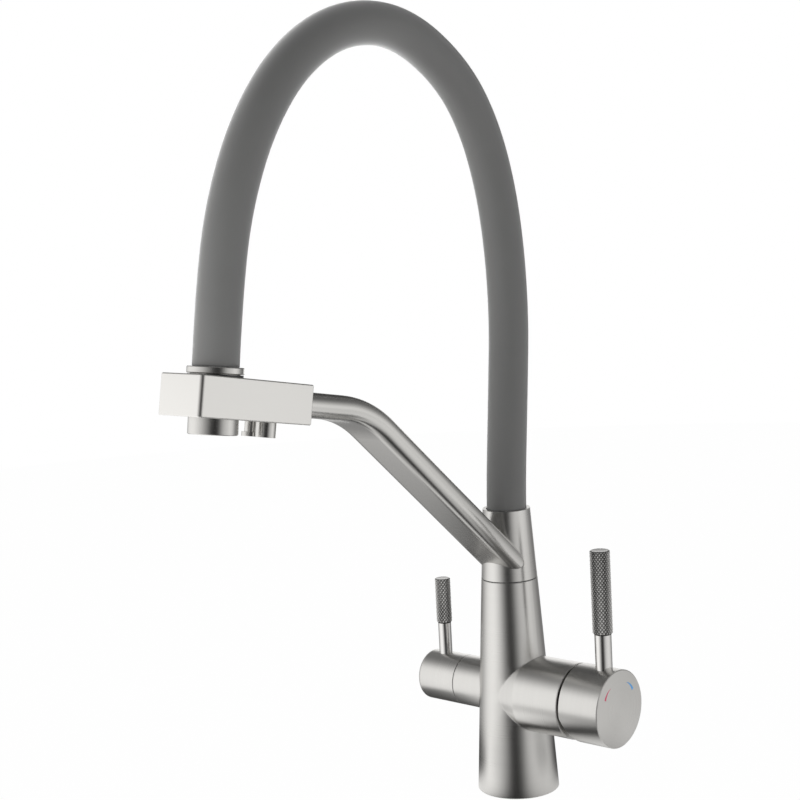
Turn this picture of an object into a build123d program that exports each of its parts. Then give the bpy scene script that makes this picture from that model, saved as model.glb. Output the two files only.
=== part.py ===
from build123d import *
import math
import os

# A tall kitchen tap: a mixer lever for hot and cold, a small lever for filtered water,
# and a pull-out hose that goes over in an arch to a head docked in a holder block.
# Millimetres. The origin is the centre of the foot's underside on the worktop, +Z is up.
# The mixer barrel points along +X, the filter barrel along -X and the spout along -Y.

# Fits and the key shape shared by all pieces
overrun = 2.0
running_fit = 0.05
push_fit = 0.1
loose_fit = 0.3
hexagon_sides = 6

# Column
foot_radius = 25.0
foot_chamfer = 0.6
seam_radius = 17.2
seam_height = 132.0
seam_gap = 0.5
neck_bore_radius = 11.0
neck_floor_rise = 24.2
ring_chamber_radius = 13.5
ring_chamber_height = 4.0
ring_chamber_share = 0.17
slip_recess_radius = 16.3
slip_recess_depth = 1.5

# Foot insert with the threaded inlets
gasket_margin = 1.4
gasket_width = 2.0
gasket_height = 2.0
insert_margin = 1.6
insert_high = 22.0
stud_thread_radius = 4.0
stud_thread_depth = 14.0
inlet_thread_radius = 5.0
inlet_thread_depth = 12.0
inlet_share = 0.39
filter_inlet_share = 0.55
water_way_radius = 3.0

# Mixer barrel and the cartridge's seat in it, measured along the barrel from the column's axis
barrel_height = 61.8
housing_radius = 22.9
housing_end = 48.9
housing_root_radius = 20.0
housing_flare_end = 16.0
cartridge_bore_radius = 17.5
cartridge_floor = 12.0
nut_bore_radius = 19.0
nut_bore_floor = 41.0
port_drop = 4.8
mixed_port_rise = 8.2
mixed_way_x = 6.0
mixed_way_radius = 3.5

# Cartridge
cartridge_base_thickness = 5.0
seal_outer_radius = 4.2
seal_thickness = 1.2
fixed_disc_radius = 14.5
fixed_disc_thickness = 4.0
moving_disc_radius = 11.0
moving_disc_thickness = 3.5
mixing_recess_radius = 6.0
mixing_recess_depth = 1.5
shell_wall = 2.0
shell_front_thickness = 3.0
shell_neck_radius = 15.0
shell_neck_length = 4.5
carrier_radius = 12.5
carrier_flange_radius = 15.2
carrier_flange_start = 25.0
carrier_flange_thickness = 5.0
carrier_end = 48.2
carrier_slot_width = 7.0
carrier_slot_height = 18.4
pivot_x = 38.0
pivot_pin_radius = 2.0
pivot_pin_length = 24.0
spindle_thickness = 6.8
spindle_height = 7.0
spindle_end = 61.0
spindle_tail_radius = 2.6
spindle_tail_start = 22.6
spindle_tail_clearance = 1.0
nut_outer_radius = 18.9
nut_length = 5.0
dust_ring_outer_radius = 18.4
dust_ring_inner_radius = 14.0
dust_ring_length = 4.3

# Mixer cap
mixer_cap_radius = 23.2
mixer_cap_gap = 1.8
mixer_cap_end = 78.1
mixer_cap_edge = 0.5
mixer_cap_hollow_radius = 20.5
mixer_cap_hollow_end = 62.5
mixer_relief_angle = 17.0
mixer_relief_drop = 4.0
mixer_boss_radius = 9.0
mixer_boss_start = 53.0
mixer_screw_x = 57.0
grub_screw_radius = 2.0
mark_radius = 16.3
mark_width = 1.7
mark_depth = 0.4
mark_middle_angle = 43.0
mark_span_angle = 31.0

# Mixer lever
mixer_lever_x = 68.2
mixer_lever_radius = 5.0
mixer_lever_socket = 5.0
mixer_grip_radius = 6.0
mixer_grip_low = 105.6
mixer_grip_high = 155.6
mixer_grip_core_radius = 3.8
grip_top_thickness = 2.5
grip_edge = 0.5

# Filter barrel and its valve, measured outwards from the column's axis
stub_radius = 15.6
stub_end = 36.7
valve_bore_radius = 9.0
valve_bore_floor = 14.0
valve_flange_bore_radius = 12.6
valve_flange_bore_floor = 30.0
valve_seal_thickness = 1.0
valve_disc_thickness = 2.5
valve_disc_radius = 7.8
valve_spindle_radius = 5.0
valve_flange_thickness = 5.0
valve_nose_radius = 8.0
valve_nose_length = 3.0
valve_spindle_tip_radius = 4.0
valve_spindle_end = 50.0
valve_spindle_groove_depth = 1.2
valve_spindle_groove_width = 2.0
filter_way_radius = 2.5
filter_rise_radius = 1.8

# Filter cap and lever
filter_cap_gap = 0.4
filter_cap_end = 66.0
filter_cap_fillet = 2.5
filter_cap_hollow_radius = 13.0
filter_cap_hollow_end = 58.0
filter_boss_radius = 7.0
filter_boss_start = 41.0
filter_screw_x = 45.0
filter_lever_x = 54.4
filter_lever_radius = 4.1
filter_lever_socket = 1.9
filter_grip_radius = 4.9
filter_grip_low = 96.6
filter_grip_high = 125.2
filter_grip_core_radius = 3.0

# Swivel sleeve and the spigot it turns on
sleeve_foot_radius = 17.1
sleeve_top_radius = 14.5
sleeve_length = 42.5
sleeve_floor_thickness = 5.5
sleeve_mouth_radius = 12.35
spigot_floor_gap = 2.0
spigot_flange_thickness = 8.0
spigot_bore_radius = 4.0
spigot_neck_radius = 5.5
spigot_neck_length = 4.0
spigot_way_radius = 1.5
spigot_way_offset = 8.4
spigot_seal_depth = 2.2
spigot_seal_width = 2.5
spigot_seal_shares = [0.06, 0.33, 0.80]
retaining_share = 0.57
retaining_groove_depth = 1.8
retaining_groove_width = 4.8
retaining_screw_radius = 1.9
retaining_screw_tip = 9.6

# Spout hose
hose_radius = 12.0
hose_bore_radius = 9.0
hose_seat_thickness = 3.0
hose_mouth_depth = 15.0
inner_hose_radius = 6.5
inner_hose_bore_radius = 4.0
hose_nut_radius = 7.4

# Holder block; its frame stands where the head's axis meets its middle, with Y inwards to the column
reach = 228.6
block_height = 270.5
block_tilt = 10.6
head_tilt = 8.4
block_length = 76.7
block_width = 32.0
block_thickness = 21.2
block_outer_length = 23.0
block_corner_radius = 2.2
block_edge = 0.5
block_bore_radius = 14.3
block_hollow_start = 22.0
block_hollow_length = 24.0
block_hollow_width = 25.0
block_hollow_height = 15.0

# Arm
arm_width = 31.5
arm_thickness = 13.6
arm_wall = 1.5
arm_root_rise = 6.1
arm_corner_share = 0.445
arm_bend_share = 0.40
tube_radius = 2.5
tube_bore_radius = 1.6

# Head, measured along its axis from the block's middle
bush_flange_radius = 14.2
bush_flange_thickness = 1.0
head_play = 0.1
nozzle_radius = 12.8
nozzle_wall = 2.0
nozzle_low = -18.7
nozzle_top_thickness = 3.5
collar_radius = 14.6
collar_thickness = 3.5
collar_edge = 0.4
nipple_radius = 6.4
nipple_flange_radius = 9.0
nipple_flange_thickness = 4.0
nipple_tail_length = 5.0
aerator_recess = 0.8
aerator_length = 10.0
aerator_wall = 1.8
aerator_core_recess = 0.6
aerator_hole_radius = 0.7
aerator_hole_pitch = 2.1
aerator_hole_rings = 3
holes_in_first_ring = 6
washer_thickness = 1.5
check_valve_radius = 8.0

# Small outlets under the block
outlet_x = 4.2
outlet_inward = 33.0
outlet_radius = 5.4
outlet_bore_radius = 4.1
outlet_low = -18.4
outlet_insert_length = 5.0
outlet_insert_recess = 0.5
side_outlet_x = -7.0
side_outlet_neck_radius = 3.4
side_outlet_ring_radius = 4.8
side_outlet_ring_thickness = 2.3
side_outlet_low = -18.35
side_outlet_bore_radius = 2.2

# Corners of the arch that the hose's middle line rounds off: inwards shares of the reach
# from the head to the column, and shares of the rise from the sleeve's mouth to the top corner
arch_rise = 285.4
arch_shares = [
    (1.000, 0.022),
    (1.027, 0.228),
    (1.051, 0.431),
    (1.029, 0.641),
    (0.963, 0.803),
    (0.855, 0.916),
    (0.670, 1.000),
    (0.471, 1.000),
    (0.296, 0.930),
    (0.165, 0.811),
    (0.078, 0.666),
]
arch_last_run_share = 0.45
arc_run_share = 0.45

# Worked out from the sizes above
low_end = (Align.CENTER, Align.CENTER, Align.MIN)
gasket_outer_radius = foot_radius - gasket_margin
gasket_inner_radius = gasket_outer_radius - gasket_width
insert_radius = gasket_inner_radius - insert_margin
inlet_x = inlet_share * insert_radius
inlet_y = inlet_share * insert_radius
filter_inlet_x = -filter_inlet_share * insert_radius
neck_bore_floor = barrel_height + neck_floor_rise
neck_depth = seam_height - neck_bore_floor
ring_chamber_low = neck_bore_floor + ring_chamber_share * neck_depth
ring_chamber_high = ring_chamber_low + ring_chamber_height
retaining_height = neck_bore_floor + retaining_share * neck_depth
spigot_low = neck_bore_floor + spigot_floor_gap
spigot_seal_heights = [neck_bore_floor + share * neck_depth for share in spigot_seal_shares]
sleeve_low = seam_height + seam_gap
sleeve_high = sleeve_low + sleeve_length
sleeve_floor_high = sleeve_low + sleeve_floor_thickness
flange_high = sleeve_floor_high + spigot_flange_thickness
neck_high = flange_high + spigot_neck_length
arm_root_height = sleeve_low + arm_root_rise
mixer_cap_start = housing_end + mixer_cap_gap
filter_cap_start = stub_end + filter_cap_gap
hose_low = sleeve_high - hose_mouth_depth
hose_seat_height = hose_low - hose_seat_thickness
block_inner_length = block_length - block_outer_length
half_block = block_thickness / 2
collar_low = half_block + bush_flange_thickness + loose_fit
collar_high = collar_low + collar_thickness
nipple_high = collar_high + nipple_tail_length
column_taper = (foot_radius - seam_radius) / seam_height

facing_right = Pos(0, 0, barrel_height) * Rot(0, 90, 0)
facing_left = Pos(0, 0, barrel_height) * Rot(0, -90, 0)
at_block = Pos(0, -reach, block_height) * Rot(-block_tilt, 0, 0)
at_head = Pos(0, -reach, block_height) * Rot(-head_tilt, 0, 0)
head_lean = Rot(block_tilt - head_tilt, 0, 0)
block_lean = Rot(head_tilt - block_tilt, 0, 0)


def rod(radius, low, high):
    """A round bar along Z between two places."""
    return Pos(0, 0, low) * Cylinder(radius, high - low, align=low_end)


def ring(outer, inner, low, high):
    """A round bar along Z with a hole right through."""
    return rod(outer, low, high) - rod(inner, low - overrun, high + overrun)


def cone(low_radius, high_radius, low, high):
    """A tapered bar along Z between two places."""
    return Pos(0, 0, low) * Cone(low_radius, high_radius, high - low, align=low_end)


def slab(x_size, y_size, low, high):
    """A box about the Z axis between two places."""
    return Pos(0, 0, low) * Box(x_size, y_size, high - low, align=low_end)


def groove_cut(outer, floor, low, high):
    """What is cut for a groove round a shaft."""
    return rod(outer + overrun, low, high) - rod(floor, low - overrun, high + overrun)


def one_solid(shape):
    """The shape's largest solid, where cuts leave loose shavings behind."""
    return max(shape.solids(), key=lambda piece: piece.volume)


def column_radius(height):
    """The column's outer radius at a height."""
    return foot_radius - column_taper * height


# Foot


def make_base_gasket():
    """Flat sealing ring let into the foot's underside."""
    return ring(gasket_outer_radius, gasket_inner_radius, 0, gasket_height)


def make_inlet_insert():
    """Brass plug in the foot, threaded for the stud and three supply hoses."""
    plug = rod(insert_radius, 0, insert_high)
    plug -= rod(stud_thread_radius, -overrun, stud_thread_depth)
    for x, y in ((inlet_x, -inlet_y), (inlet_x, inlet_y), (filter_inlet_x, 0)):
        plug -= Pos(x, y) * rod(inlet_thread_radius, -overrun, inlet_thread_depth)
        way = water_way_radius if y else filter_way_radius
        plug -= Pos(x, y) * rod(way, 0, insert_high + overrun)
    return plug


# Body casting


def cartridge_ports(start, end, radius):
    """Three bars along the mixer barrel where the cartridge's ports lie."""
    bars = []
    for y, z in ((-inlet_y, -port_drop), (inlet_y, -port_drop), (0, mixed_port_rise)):
        bars.append(Pos(0, y, z) * facing_right * rod(radius, start, end))
    return bars


def make_body_casting():
    """Column with both barrels, its bores and its water ways."""
    body = cone(foot_radius, seam_radius, 0, seam_height)
    body = chamfer(body.edges().sort_by(Axis.Z)[0], foot_chamfer)
    body += facing_right * cone(housing_root_radius, housing_radius, 0, housing_flare_end)
    body += facing_right * rod(housing_radius, housing_flare_end, housing_end)
    body += facing_left * rod(stub_radius, 0, stub_end)
    # foot
    body -= rod(insert_radius, -overrun, insert_high)
    body -= ring(gasket_outer_radius, gasket_inner_radius, -overrun, gasket_height)
    # neck that the spout turns in
    body -= rod(neck_bore_radius, neck_bore_floor, seam_height + overrun)
    body -= rod(ring_chamber_radius, ring_chamber_low, ring_chamber_high)
    body -= rod(slip_recess_radius, seam_height - slip_recess_depth, seam_height + overrun)
    # cartridge seat
    body -= facing_right * rod(cartridge_bore_radius, cartridge_floor, housing_end + overrun)
    body -= facing_right * rod(nut_bore_radius, nut_bore_floor, housing_end + overrun)
    # hot and cold ways
    for side in (-1, 1):
        way_top = barrel_height - port_drop
        body -= Pos(inlet_x, side * inlet_y) * rod(water_way_radius, insert_high - overrun, way_top)
    for bar in cartridge_ports(mixed_way_x, cartridge_floor + overrun, water_way_radius):
        body -= bar
    # mixed water up to the neck
    mixed_low = barrel_height + mixed_port_rise
    body -= Pos(mixed_way_x, 0) * rod(mixed_way_radius, mixed_low, neck_bore_floor + overrun)
    # filter valve seat and its ways
    body -= facing_left * rod(valve_bore_radius, valve_bore_floor, stub_end + overrun)
    body -= facing_left * rod(valve_flange_bore_radius, valve_flange_bore_floor, stub_end + overrun)
    body -= Pos(filter_inlet_x, 0) * rod(filter_way_radius, insert_high - overrun, barrel_height)
    body -= facing_left * rod(filter_way_radius, -filter_inlet_x, valve_bore_floor + overrun)
    rise_start = Vector(-(valve_bore_floor + valve_bore_radius), 0, barrel_height)
    rise_end = Vector(-neck_bore_radius, 0, ring_chamber_high)
    rise = (rise_end - rise_start).normalized()
    body -= Plane(rise_start, z_dir=rise) * rod(filter_rise_radius, 0, (rise_end - rise_start).length)
    # retaining screw's hole at the back
    hole = Pos(0, 0, retaining_height) * Rot(-90, 0, 0) * rod(retaining_screw_radius, 0, foot_radius)
    body -= hole
    return one_solid(body)


# Mixing cartridge


def make_port_seals():
    """Three rubber rings between the cartridge and the floor of its seat."""
    seals = []
    end = cartridge_floor + seal_thickness
    outer = cartridge_ports(cartridge_floor, end, seal_outer_radius)
    inner = cartridge_ports(cartridge_floor - overrun, end + overrun, water_way_radius)
    for solid, hole in zip(outer, inner):
        seals.append(solid - hole)
    return Compound(children=seals)


def make_cartridge_base():
    """Plastic base plate with its ports and seal recesses."""
    end = cartridge_floor + cartridge_base_thickness
    plate = facing_right * rod(cartridge_bore_radius - running_fit, cartridge_floor, end)
    for bar in cartridge_ports(cartridge_floor - overrun, end + overrun, water_way_radius):
        plate -= bar
    seal_end = cartridge_floor + seal_thickness
    for bar in cartridge_ports(cartridge_floor - overrun, seal_end, seal_outer_radius):
        plate -= bar
    return plate


fixed_disc_start = cartridge_floor + cartridge_base_thickness
moving_disc_start = fixed_disc_start + fixed_disc_thickness
shell_inner_radius = cartridge_bore_radius - shell_wall


def make_fixed_ceramic_disc():
    """Ceramic disc with the three ports."""
    disc = facing_right * rod(fixed_disc_radius, fixed_disc_start, moving_disc_start)
    for bar in cartridge_ports(fixed_disc_start - overrun, moving_disc_start + overrun, water_way_radius):
        disc -= bar
    return disc


def make_moving_ceramic_disc():
    """Ceramic disc that slides, with a mixing recess on one face and the tail's pocket on the other."""
    end = moving_disc_start + moving_disc_thickness
    disc = facing_right * rod(moving_disc_radius, moving_disc_start, end)
    recess_end = moving_disc_start + mixing_recess_depth
    disc -= facing_right * rod(mixing_recess_radius, moving_disc_start - overrun, recess_end)
    pocket_radius = spindle_tail_radius + spindle_tail_clearance
    disc -= facing_right * rod(pocket_radius, recess_end, end + overrun)
    return disc


def make_cartridge_shell():
    """Plastic shell that holds the discs and the turning carrier."""
    shell = facing_right * rod(cartridge_bore_radius - running_fit, fixed_disc_start, nut_bore_floor)
    front_start = nut_bore_floor - shell_front_thickness
    shell += facing_right * rod(shell_neck_radius, front_start, nut_bore_floor + shell_neck_length)
    shell -= facing_right * rod(shell_inner_radius, fixed_disc_start - overrun, front_start)
    neck_hole = carrier_radius + running_fit
    shell -= facing_right * rod(neck_hole, fixed_disc_start, nut_bore_floor + shell_neck_length + overrun)
    return shell


def make_carrier():
    """Turning piece with a slot for the spindle and a cross hole for its pin."""
    flange_end = carrier_flange_start + carrier_flange_thickness
    carrier = facing_right * rod(carrier_radius, flange_end, carrier_end)
    carrier += facing_right * rod(carrier_flange_radius, carrier_flange_start, flange_end)
    slot_start = carrier_flange_start - overrun
    slot = slab(carrier_slot_height, carrier_slot_width, slot_start, carrier_end + overrun)
    carrier -= facing_right * slot
    pin_hole = rod(pivot_pin_radius, -carrier_flange_radius, carrier_flange_radius)
    carrier -= Pos(pivot_x, 0, barrel_height) * Rot(90, 0, 0) * pin_hole
    return carrier


def make_pivot_pin():
    """Steel pin that the spindle tilts on."""
    half = pivot_pin_length / 2
    return Pos(pivot_x, 0, barrel_height) * Rot(90, 0, 0) * rod(pivot_pin_radius, -half, half)


def make_mixer_spindle():
    """Flat bar from the moving disc through the pin to the cap."""
    tail_end = pivot_x - spindle_height / 2
    bar = facing_right * slab(spindle_height, spindle_thickness, tail_end, spindle_end)
    bar += facing_right * rod(spindle_tail_radius, spindle_tail_start + spindle_tail_radius, tail_end)
    bar += facing_right * Pos(0, 0, spindle_tail_start + spindle_tail_radius) * Sphere(spindle_tail_radius)
    pin_hole = rod(pivot_pin_radius + running_fit, -spindle_height, spindle_height)
    bar -= Pos(pivot_x, 0, barrel_height) * Rot(90, 0, 0) * pin_hole
    return bar


def make_cartridge_nut():
    """Brass ring nut that presses the cartridge into its seat."""
    bore = shell_neck_radius + push_fit
    return facing_right * ring(nut_outer_radius, bore, nut_bore_floor, nut_bore_floor + nut_length)


def make_dust_ring():
    """Dark ring in front of the nut, seen in the gap under the cap."""
    start = nut_bore_floor + nut_length
    end = start + dust_ring_length
    return facing_right * ring(dust_ring_outer_radius, dust_ring_inner_radius, start, end)


# Mixer cap and lever


def relief_wedge():
    """What is cut off the cap's back edge below the middle, so that it can tilt."""
    top = barrel_height - mixer_relief_drop
    depth = mixer_cap_radius + overrun
    lean = depth * math.tan(math.radians(mixer_relief_angle))
    corners = [
        (mixer_cap_start - overrun, top),
        (mixer_cap_start, top),
        (mixer_cap_start + lean, top - depth),
        (mixer_cap_start - overrun, top - depth),
    ]
    face = make_face(Plane.XZ * Polyline(*corners, close=True))
    return extrude(face, amount=mixer_cap_radius + overrun, both=True)


def mark_face(side):
    """A stroke along an arc, thin at its upper end, in the plane of the cap's face."""
    start = math.radians(mark_middle_angle - mark_span_angle / 2)
    middle = math.radians(mark_middle_angle)
    end = math.radians(mark_middle_angle + mark_span_angle / 2)

    def place(radius, angle):
        return (side * radius * math.sin(angle), radius * math.cos(angle))

    outer = mark_radius + mark_width / 2
    inner = mark_radius - mark_width / 2
    outer_arc = ThreePointArc(place(mark_radius, start), place(outer, middle), place(outer, end))
    inner_arc = ThreePointArc(place(inner, end), place(mark_radius, middle), place(mark_radius, start))
    tip = Line(place(outer, end), place(inner, end))
    return make_face(outer_arc + tip + inner_arc)


def make_mark(side):
    """Coloured inlay on the cap's face; side -1 is hot and 1 is cold."""
    start = mixer_cap_end - mark_depth
    face_plane = Plane((start, 0, barrel_height), x_dir=(0, 1, 0), z_dir=(1, 0, 0))
    return extrude(face_plane * mark_face(side), amount=mark_depth)


mixer_screw_length = mixer_boss_radius - spindle_height / 2
filter_screw_length = filter_boss_radius - valve_spindle_tip_radius


def make_screw(x, boss_radius, length):
    """A headless screw from a boss's underside to the spindle, with a hexagon socket."""
    low = barrel_height - boss_radius
    screw = Pos(x, 0) * rod(grub_screw_radius, low, low + length)
    socket = extrude(RegularPolygon(grub_screw_radius / 2, hexagon_sides), amount=length / 2)
    return screw - Pos(x, 0, low) * socket


def make_mixer_cap():
    """Cap with its boss, its lever socket and recesses for the two marks."""
    cap = facing_right * rod(mixer_cap_radius, mixer_cap_start, mixer_cap_end)
    cap = chamfer(cap.edges().sort_by(Axis.X)[-1], mixer_cap_edge)
    cap -= facing_right * rod(mixer_cap_hollow_radius, mixer_cap_start - overrun, mixer_cap_hollow_end)
    cap -= relief_wedge()
    cap += facing_right * rod(mixer_boss_radius, mixer_boss_start, mixer_cap_hollow_end)
    cap -= facing_right * slab(spindle_height, spindle_thickness, mixer_boss_start - overrun, spindle_end)
    top = barrel_height + mixer_cap_radius
    cap -= Pos(mixer_lever_x, 0) * rod(mixer_lever_radius, top - mixer_lever_socket, top + overrun)
    hole_low = barrel_height - mixer_cap_radius - overrun
    screw_top = barrel_height - spindle_height / 2
    cap -= Pos(mixer_screw_x, 0) * rod(grub_screw_radius, hole_low, screw_top)
    for side in (-1, 1):
        cap -= make_mark(side)
    return cap


def make_lever_rod(x, radius, low, grip_low, core_radius, grip_high):
    """Smooth upright bar with a thinner core inside the grip."""
    bar = Pos(x, 0) * rod(radius, low, grip_low)
    bar += Pos(x, 0) * rod(core_radius, grip_low, grip_high - grip_top_thickness)
    return bar


def make_grip(x, radius, low, high, core_radius):
    """Sleeve over the top of a lever, closed at its top."""
    grip = rod(radius, low, high)
    grip = chamfer(grip.edges().sort_by(Axis.Z)[-1], grip_edge)
    grip = chamfer(grip.edges().sort_by(Axis.Z)[0], grip_edge)
    grip -= rod(core_radius, low - overrun, high - grip_top_thickness)
    return Pos(x, 0) * grip


# Filter valve

valve_body_start = valve_bore_floor + valve_seal_thickness
fixed_valve_disc_end = valve_body_start + valve_disc_thickness
moving_valve_disc_end = fixed_valve_disc_end + valve_disc_thickness
valve_flange_end = valve_flange_bore_floor + valve_flange_thickness
valve_nose_end = valve_flange_end + valve_nose_length


def make_valve_seal():
    """Rubber ring on the floor of the valve's seat."""
    outer = valve_bore_radius - running_fit
    return facing_left * ring(outer, filter_way_radius, valve_bore_floor, valve_body_start)


def make_valve_body():
    """Brass headwork with its flange and the spindle's bore."""
    body = facing_left * rod(valve_bore_radius - running_fit, valve_body_start, valve_flange_bore_floor)
    body += facing_left * rod(valve_flange_bore_radius - loose_fit, valve_flange_bore_floor, valve_flange_end)
    body += facing_left * rod(valve_nose_radius, valve_flange_end, valve_nose_end)
    disc_bore = valve_disc_radius + running_fit
    body -= facing_left * rod(disc_bore, valve_body_start - overrun, moving_valve_disc_end)
    spindle_bore = valve_spindle_radius + running_fit
    body -= facing_left * rod(spindle_bore, valve_body_start, valve_nose_end + overrun)
    outlet_x_place = valve_bore_floor + valve_bore_radius
    body -= Pos(-outlet_x_place, 0, barrel_height) * rod(filter_rise_radius, 0, valve_bore_radius + overrun)
    return body


def valve_port(side):
    """An off-centre hole bar along the filter barrel."""
    bar = rod(filter_rise_radius, 0, moving_valve_disc_end + overrun)
    return Pos(0, side * valve_disc_radius / 2, 0) * facing_left * bar


def make_fixed_valve_disc():
    """Ceramic disc that stays put, with two ports."""
    disc = facing_left * rod(valve_disc_radius, valve_body_start, fixed_valve_disc_end)
    for side in (-1, 1):
        disc -= valve_port(side)
    return disc


def make_moving_valve_disc():
    """Ceramic disc that turns a quarter with the spindle."""
    disc = facing_left * rod(valve_disc_radius, fixed_valve_disc_end, moving_valve_disc_end)
    for side in (-1, 1):
        disc -= valve_port(side)
    return disc


spindle_groove_start = valve_flange_bore_floor + valve_flange_thickness / 2


def make_filter_spindle():
    """Brass spindle from the turning disc to the cap."""
    spindle = facing_left * rod(valve_spindle_radius, moving_valve_disc_end, valve_nose_end)
    spindle += facing_left * rod(valve_spindle_tip_radius, valve_nose_end, valve_spindle_end)
    groove_floor = valve_spindle_radius - valve_spindle_groove_depth
    groove_end = spindle_groove_start + valve_spindle_groove_width
    spindle -= facing_left * groove_cut(valve_spindle_radius, groove_floor, spindle_groove_start, groove_end)
    return spindle


def make_spindle_seal():
    """Rubber ring in the spindle's groove."""
    groove_floor = valve_spindle_radius - valve_spindle_groove_depth
    groove_end = spindle_groove_start + valve_spindle_groove_width
    return facing_left * ring(valve_spindle_radius, groove_floor, spindle_groove_start, groove_end)


def make_filter_cap():
    """Plain round cap with its boss and its lever socket."""
    cap = facing_left * rod(stub_radius, filter_cap_start, filter_cap_end)
    cap = fillet(cap.edges().sort_by(Axis.X)[0], filter_cap_fillet)
    cap -= facing_left * rod(filter_cap_hollow_radius, filter_cap_start - overrun, filter_cap_hollow_end)
    cap += facing_left * rod(filter_boss_radius, filter_boss_start, filter_cap_hollow_end + overrun)
    cap -= facing_left * rod(valve_spindle_tip_radius, filter_boss_start - overrun, valve_spindle_end)
    top = barrel_height + stub_radius
    cap -= Pos(-filter_lever_x, 0) * rod(filter_lever_radius, top - filter_lever_socket, top + overrun)
    hole_low = barrel_height - stub_radius - overrun
    screw_top = barrel_height - valve_spindle_tip_radius
    cap -= Pos(-filter_screw_x, 0) * rod(grub_screw_radius, hole_low, screw_top)
    return cap


# Swivel


def make_swivel_ring():
    """Plastic washer that the sleeve turns on, set back in the seam."""
    low = seam_height - slip_recess_depth
    return ring(slip_recess_radius - push_fit, neck_bore_radius + push_fit, low, sleeve_low)


spigot_radius = neck_bore_radius - running_fit


def make_swivel_spigot():
    """Brass spigot in the column's neck, with grooves and two water ways."""
    spigot = rod(spigot_radius, spigot_low, sleeve_floor_high)
    spigot += rod(sleeve_mouth_radius - push_fit, sleeve_floor_high, flange_high)
    spigot += rod(spigot_neck_radius, flange_high, neck_high)
    spigot -= rod(spigot_bore_radius, spigot_low - overrun, neck_high + overrun)
    for low in spigot_seal_heights:
        floor = spigot_radius - spigot_seal_depth
        spigot -= groove_cut(spigot_radius, floor, low, low + spigot_seal_width)
    retaining_floor = spigot_radius - retaining_groove_depth
    groove_low = retaining_height - retaining_groove_width / 2
    groove_high = retaining_height + retaining_groove_width / 2
    spigot -= groove_cut(spigot_radius, retaining_floor, groove_low, groove_high)
    way_low = ring_chamber_low + spigot_way_radius
    spigot -= Pos(0, -spigot_way_offset) * rod(spigot_way_radius, way_low, flange_high + overrun)
    cross_height = (ring_chamber_low + ring_chamber_high) / 2
    cross = Rot(90, 0, 0) * rod(spigot_way_radius, spigot_way_offset, neck_bore_radius + overrun)
    spigot -= Pos(0, 0, cross_height) * cross
    return spigot


def make_spigot_seals():
    """Three rubber rings in the spigot's grooves."""
    seals = []
    for low in spigot_seal_heights:
        seals.append(ring(spigot_radius, spigot_radius - spigot_seal_depth, low, low + spigot_seal_width))
    return Compound(children=seals)


def make_retaining_screw():
    """Headless screw at the back of the neck, its tip in the spigot's groove."""
    end = column_radius(retaining_height) - loose_fit
    screw = rod(retaining_screw_radius - running_fit, retaining_screw_tip, end)
    socket = extrude(RegularPolygon(retaining_screw_radius / 2, hexagon_sides), amount=retaining_screw_radius)
    screw -= Pos(0, 0, end - retaining_screw_radius) * socket
    return Pos(0, 0, retaining_height) * Rot(-90, 0, 0) * screw


# Arm and holder block


def tilted_place(tilt_angle, inward, up):
    """A place in the arm's plane, by a frame at the block's middle tilted so far."""
    tilt = math.radians(tilt_angle)
    y = -reach + inward * math.cos(tilt) + up * math.sin(tilt)
    z = block_height - inward * math.sin(tilt) + up * math.cos(tilt)
    return Vector(0, y, z)


def arm_path(start_inward):
    """Middle line of the arm: along the block's axis, round the bend and down to the column's axis."""
    start = tilted_place(block_tilt, start_inward, 0)
    corner = tilted_place(block_tilt, arm_corner_share * reach, 0)
    root = Vector(0, 0, arm_root_height)
    first_run = corner - tilted_place(block_tilt, block_inner_length, 0)
    half_turn = math.radians(first_run.get_angle(root - corner)) / 2
    bend_radius = arm_bend_share * first_run.length / math.tan(half_turn)
    return FilletPolyline(start, corner, root, radius=bend_radius)


def flat_oval(start, direction, width, thickness):
    """A flat oval with round ends, square to a path's start and lying across the arm's plane."""
    plane = Plane(start, x_dir=(1, 0, 0), z_dir=direction)
    return plane * SlotOverall(width, thickness)


def arm_bar(start_inward, width, thickness):
    """A solid bar of flat-oval section along the arm's path."""
    path = arm_path(start_inward)
    section = flat_oval(path @ 0, path % 0, width, thickness)
    return sweep(section, path=path)


def sleeve_blank():
    """The sleeve's outer shape, solid."""
    return cone(sleeve_foot_radius, sleeve_top_radius, sleeve_low, sleeve_high)


def make_support_arm():
    """Hollow flat-oval arm, fitted to the sleeve's side."""
    arm = arm_bar(block_inner_length, arm_width, arm_thickness)
    arm -= arm_bar(block_inner_length - overrun, arm_width - 2 * arm_wall, arm_thickness - 2 * arm_wall)
    arm -= sleeve_blank()
    return one_solid(arm)


def make_spout_sleeve():
    """Tapered sleeve over the spigot, with the hose's mouth and a window to the arm."""
    sleeve = sleeve_blank()
    sleeve -= rod(neck_bore_radius, sleeve_low - overrun, sleeve_high)
    sleeve -= rod(sleeve_mouth_radius, sleeve_floor_high, sleeve_high + overrun)
    window = arm_bar(block_inner_length, arm_width - 2 * arm_wall, arm_thickness - 2 * arm_wall)
    front = Pos(0, -foot_radius) * slab(2 * foot_radius, 2 * foot_radius, flange_high, sleeve_high)
    narrow = slab(2 * sleeve_mouth_radius - 2 * arm_wall, 2 * foot_radius, 0, sleeve_high)
    sleeve -= window & front & narrow
    return sleeve


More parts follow.
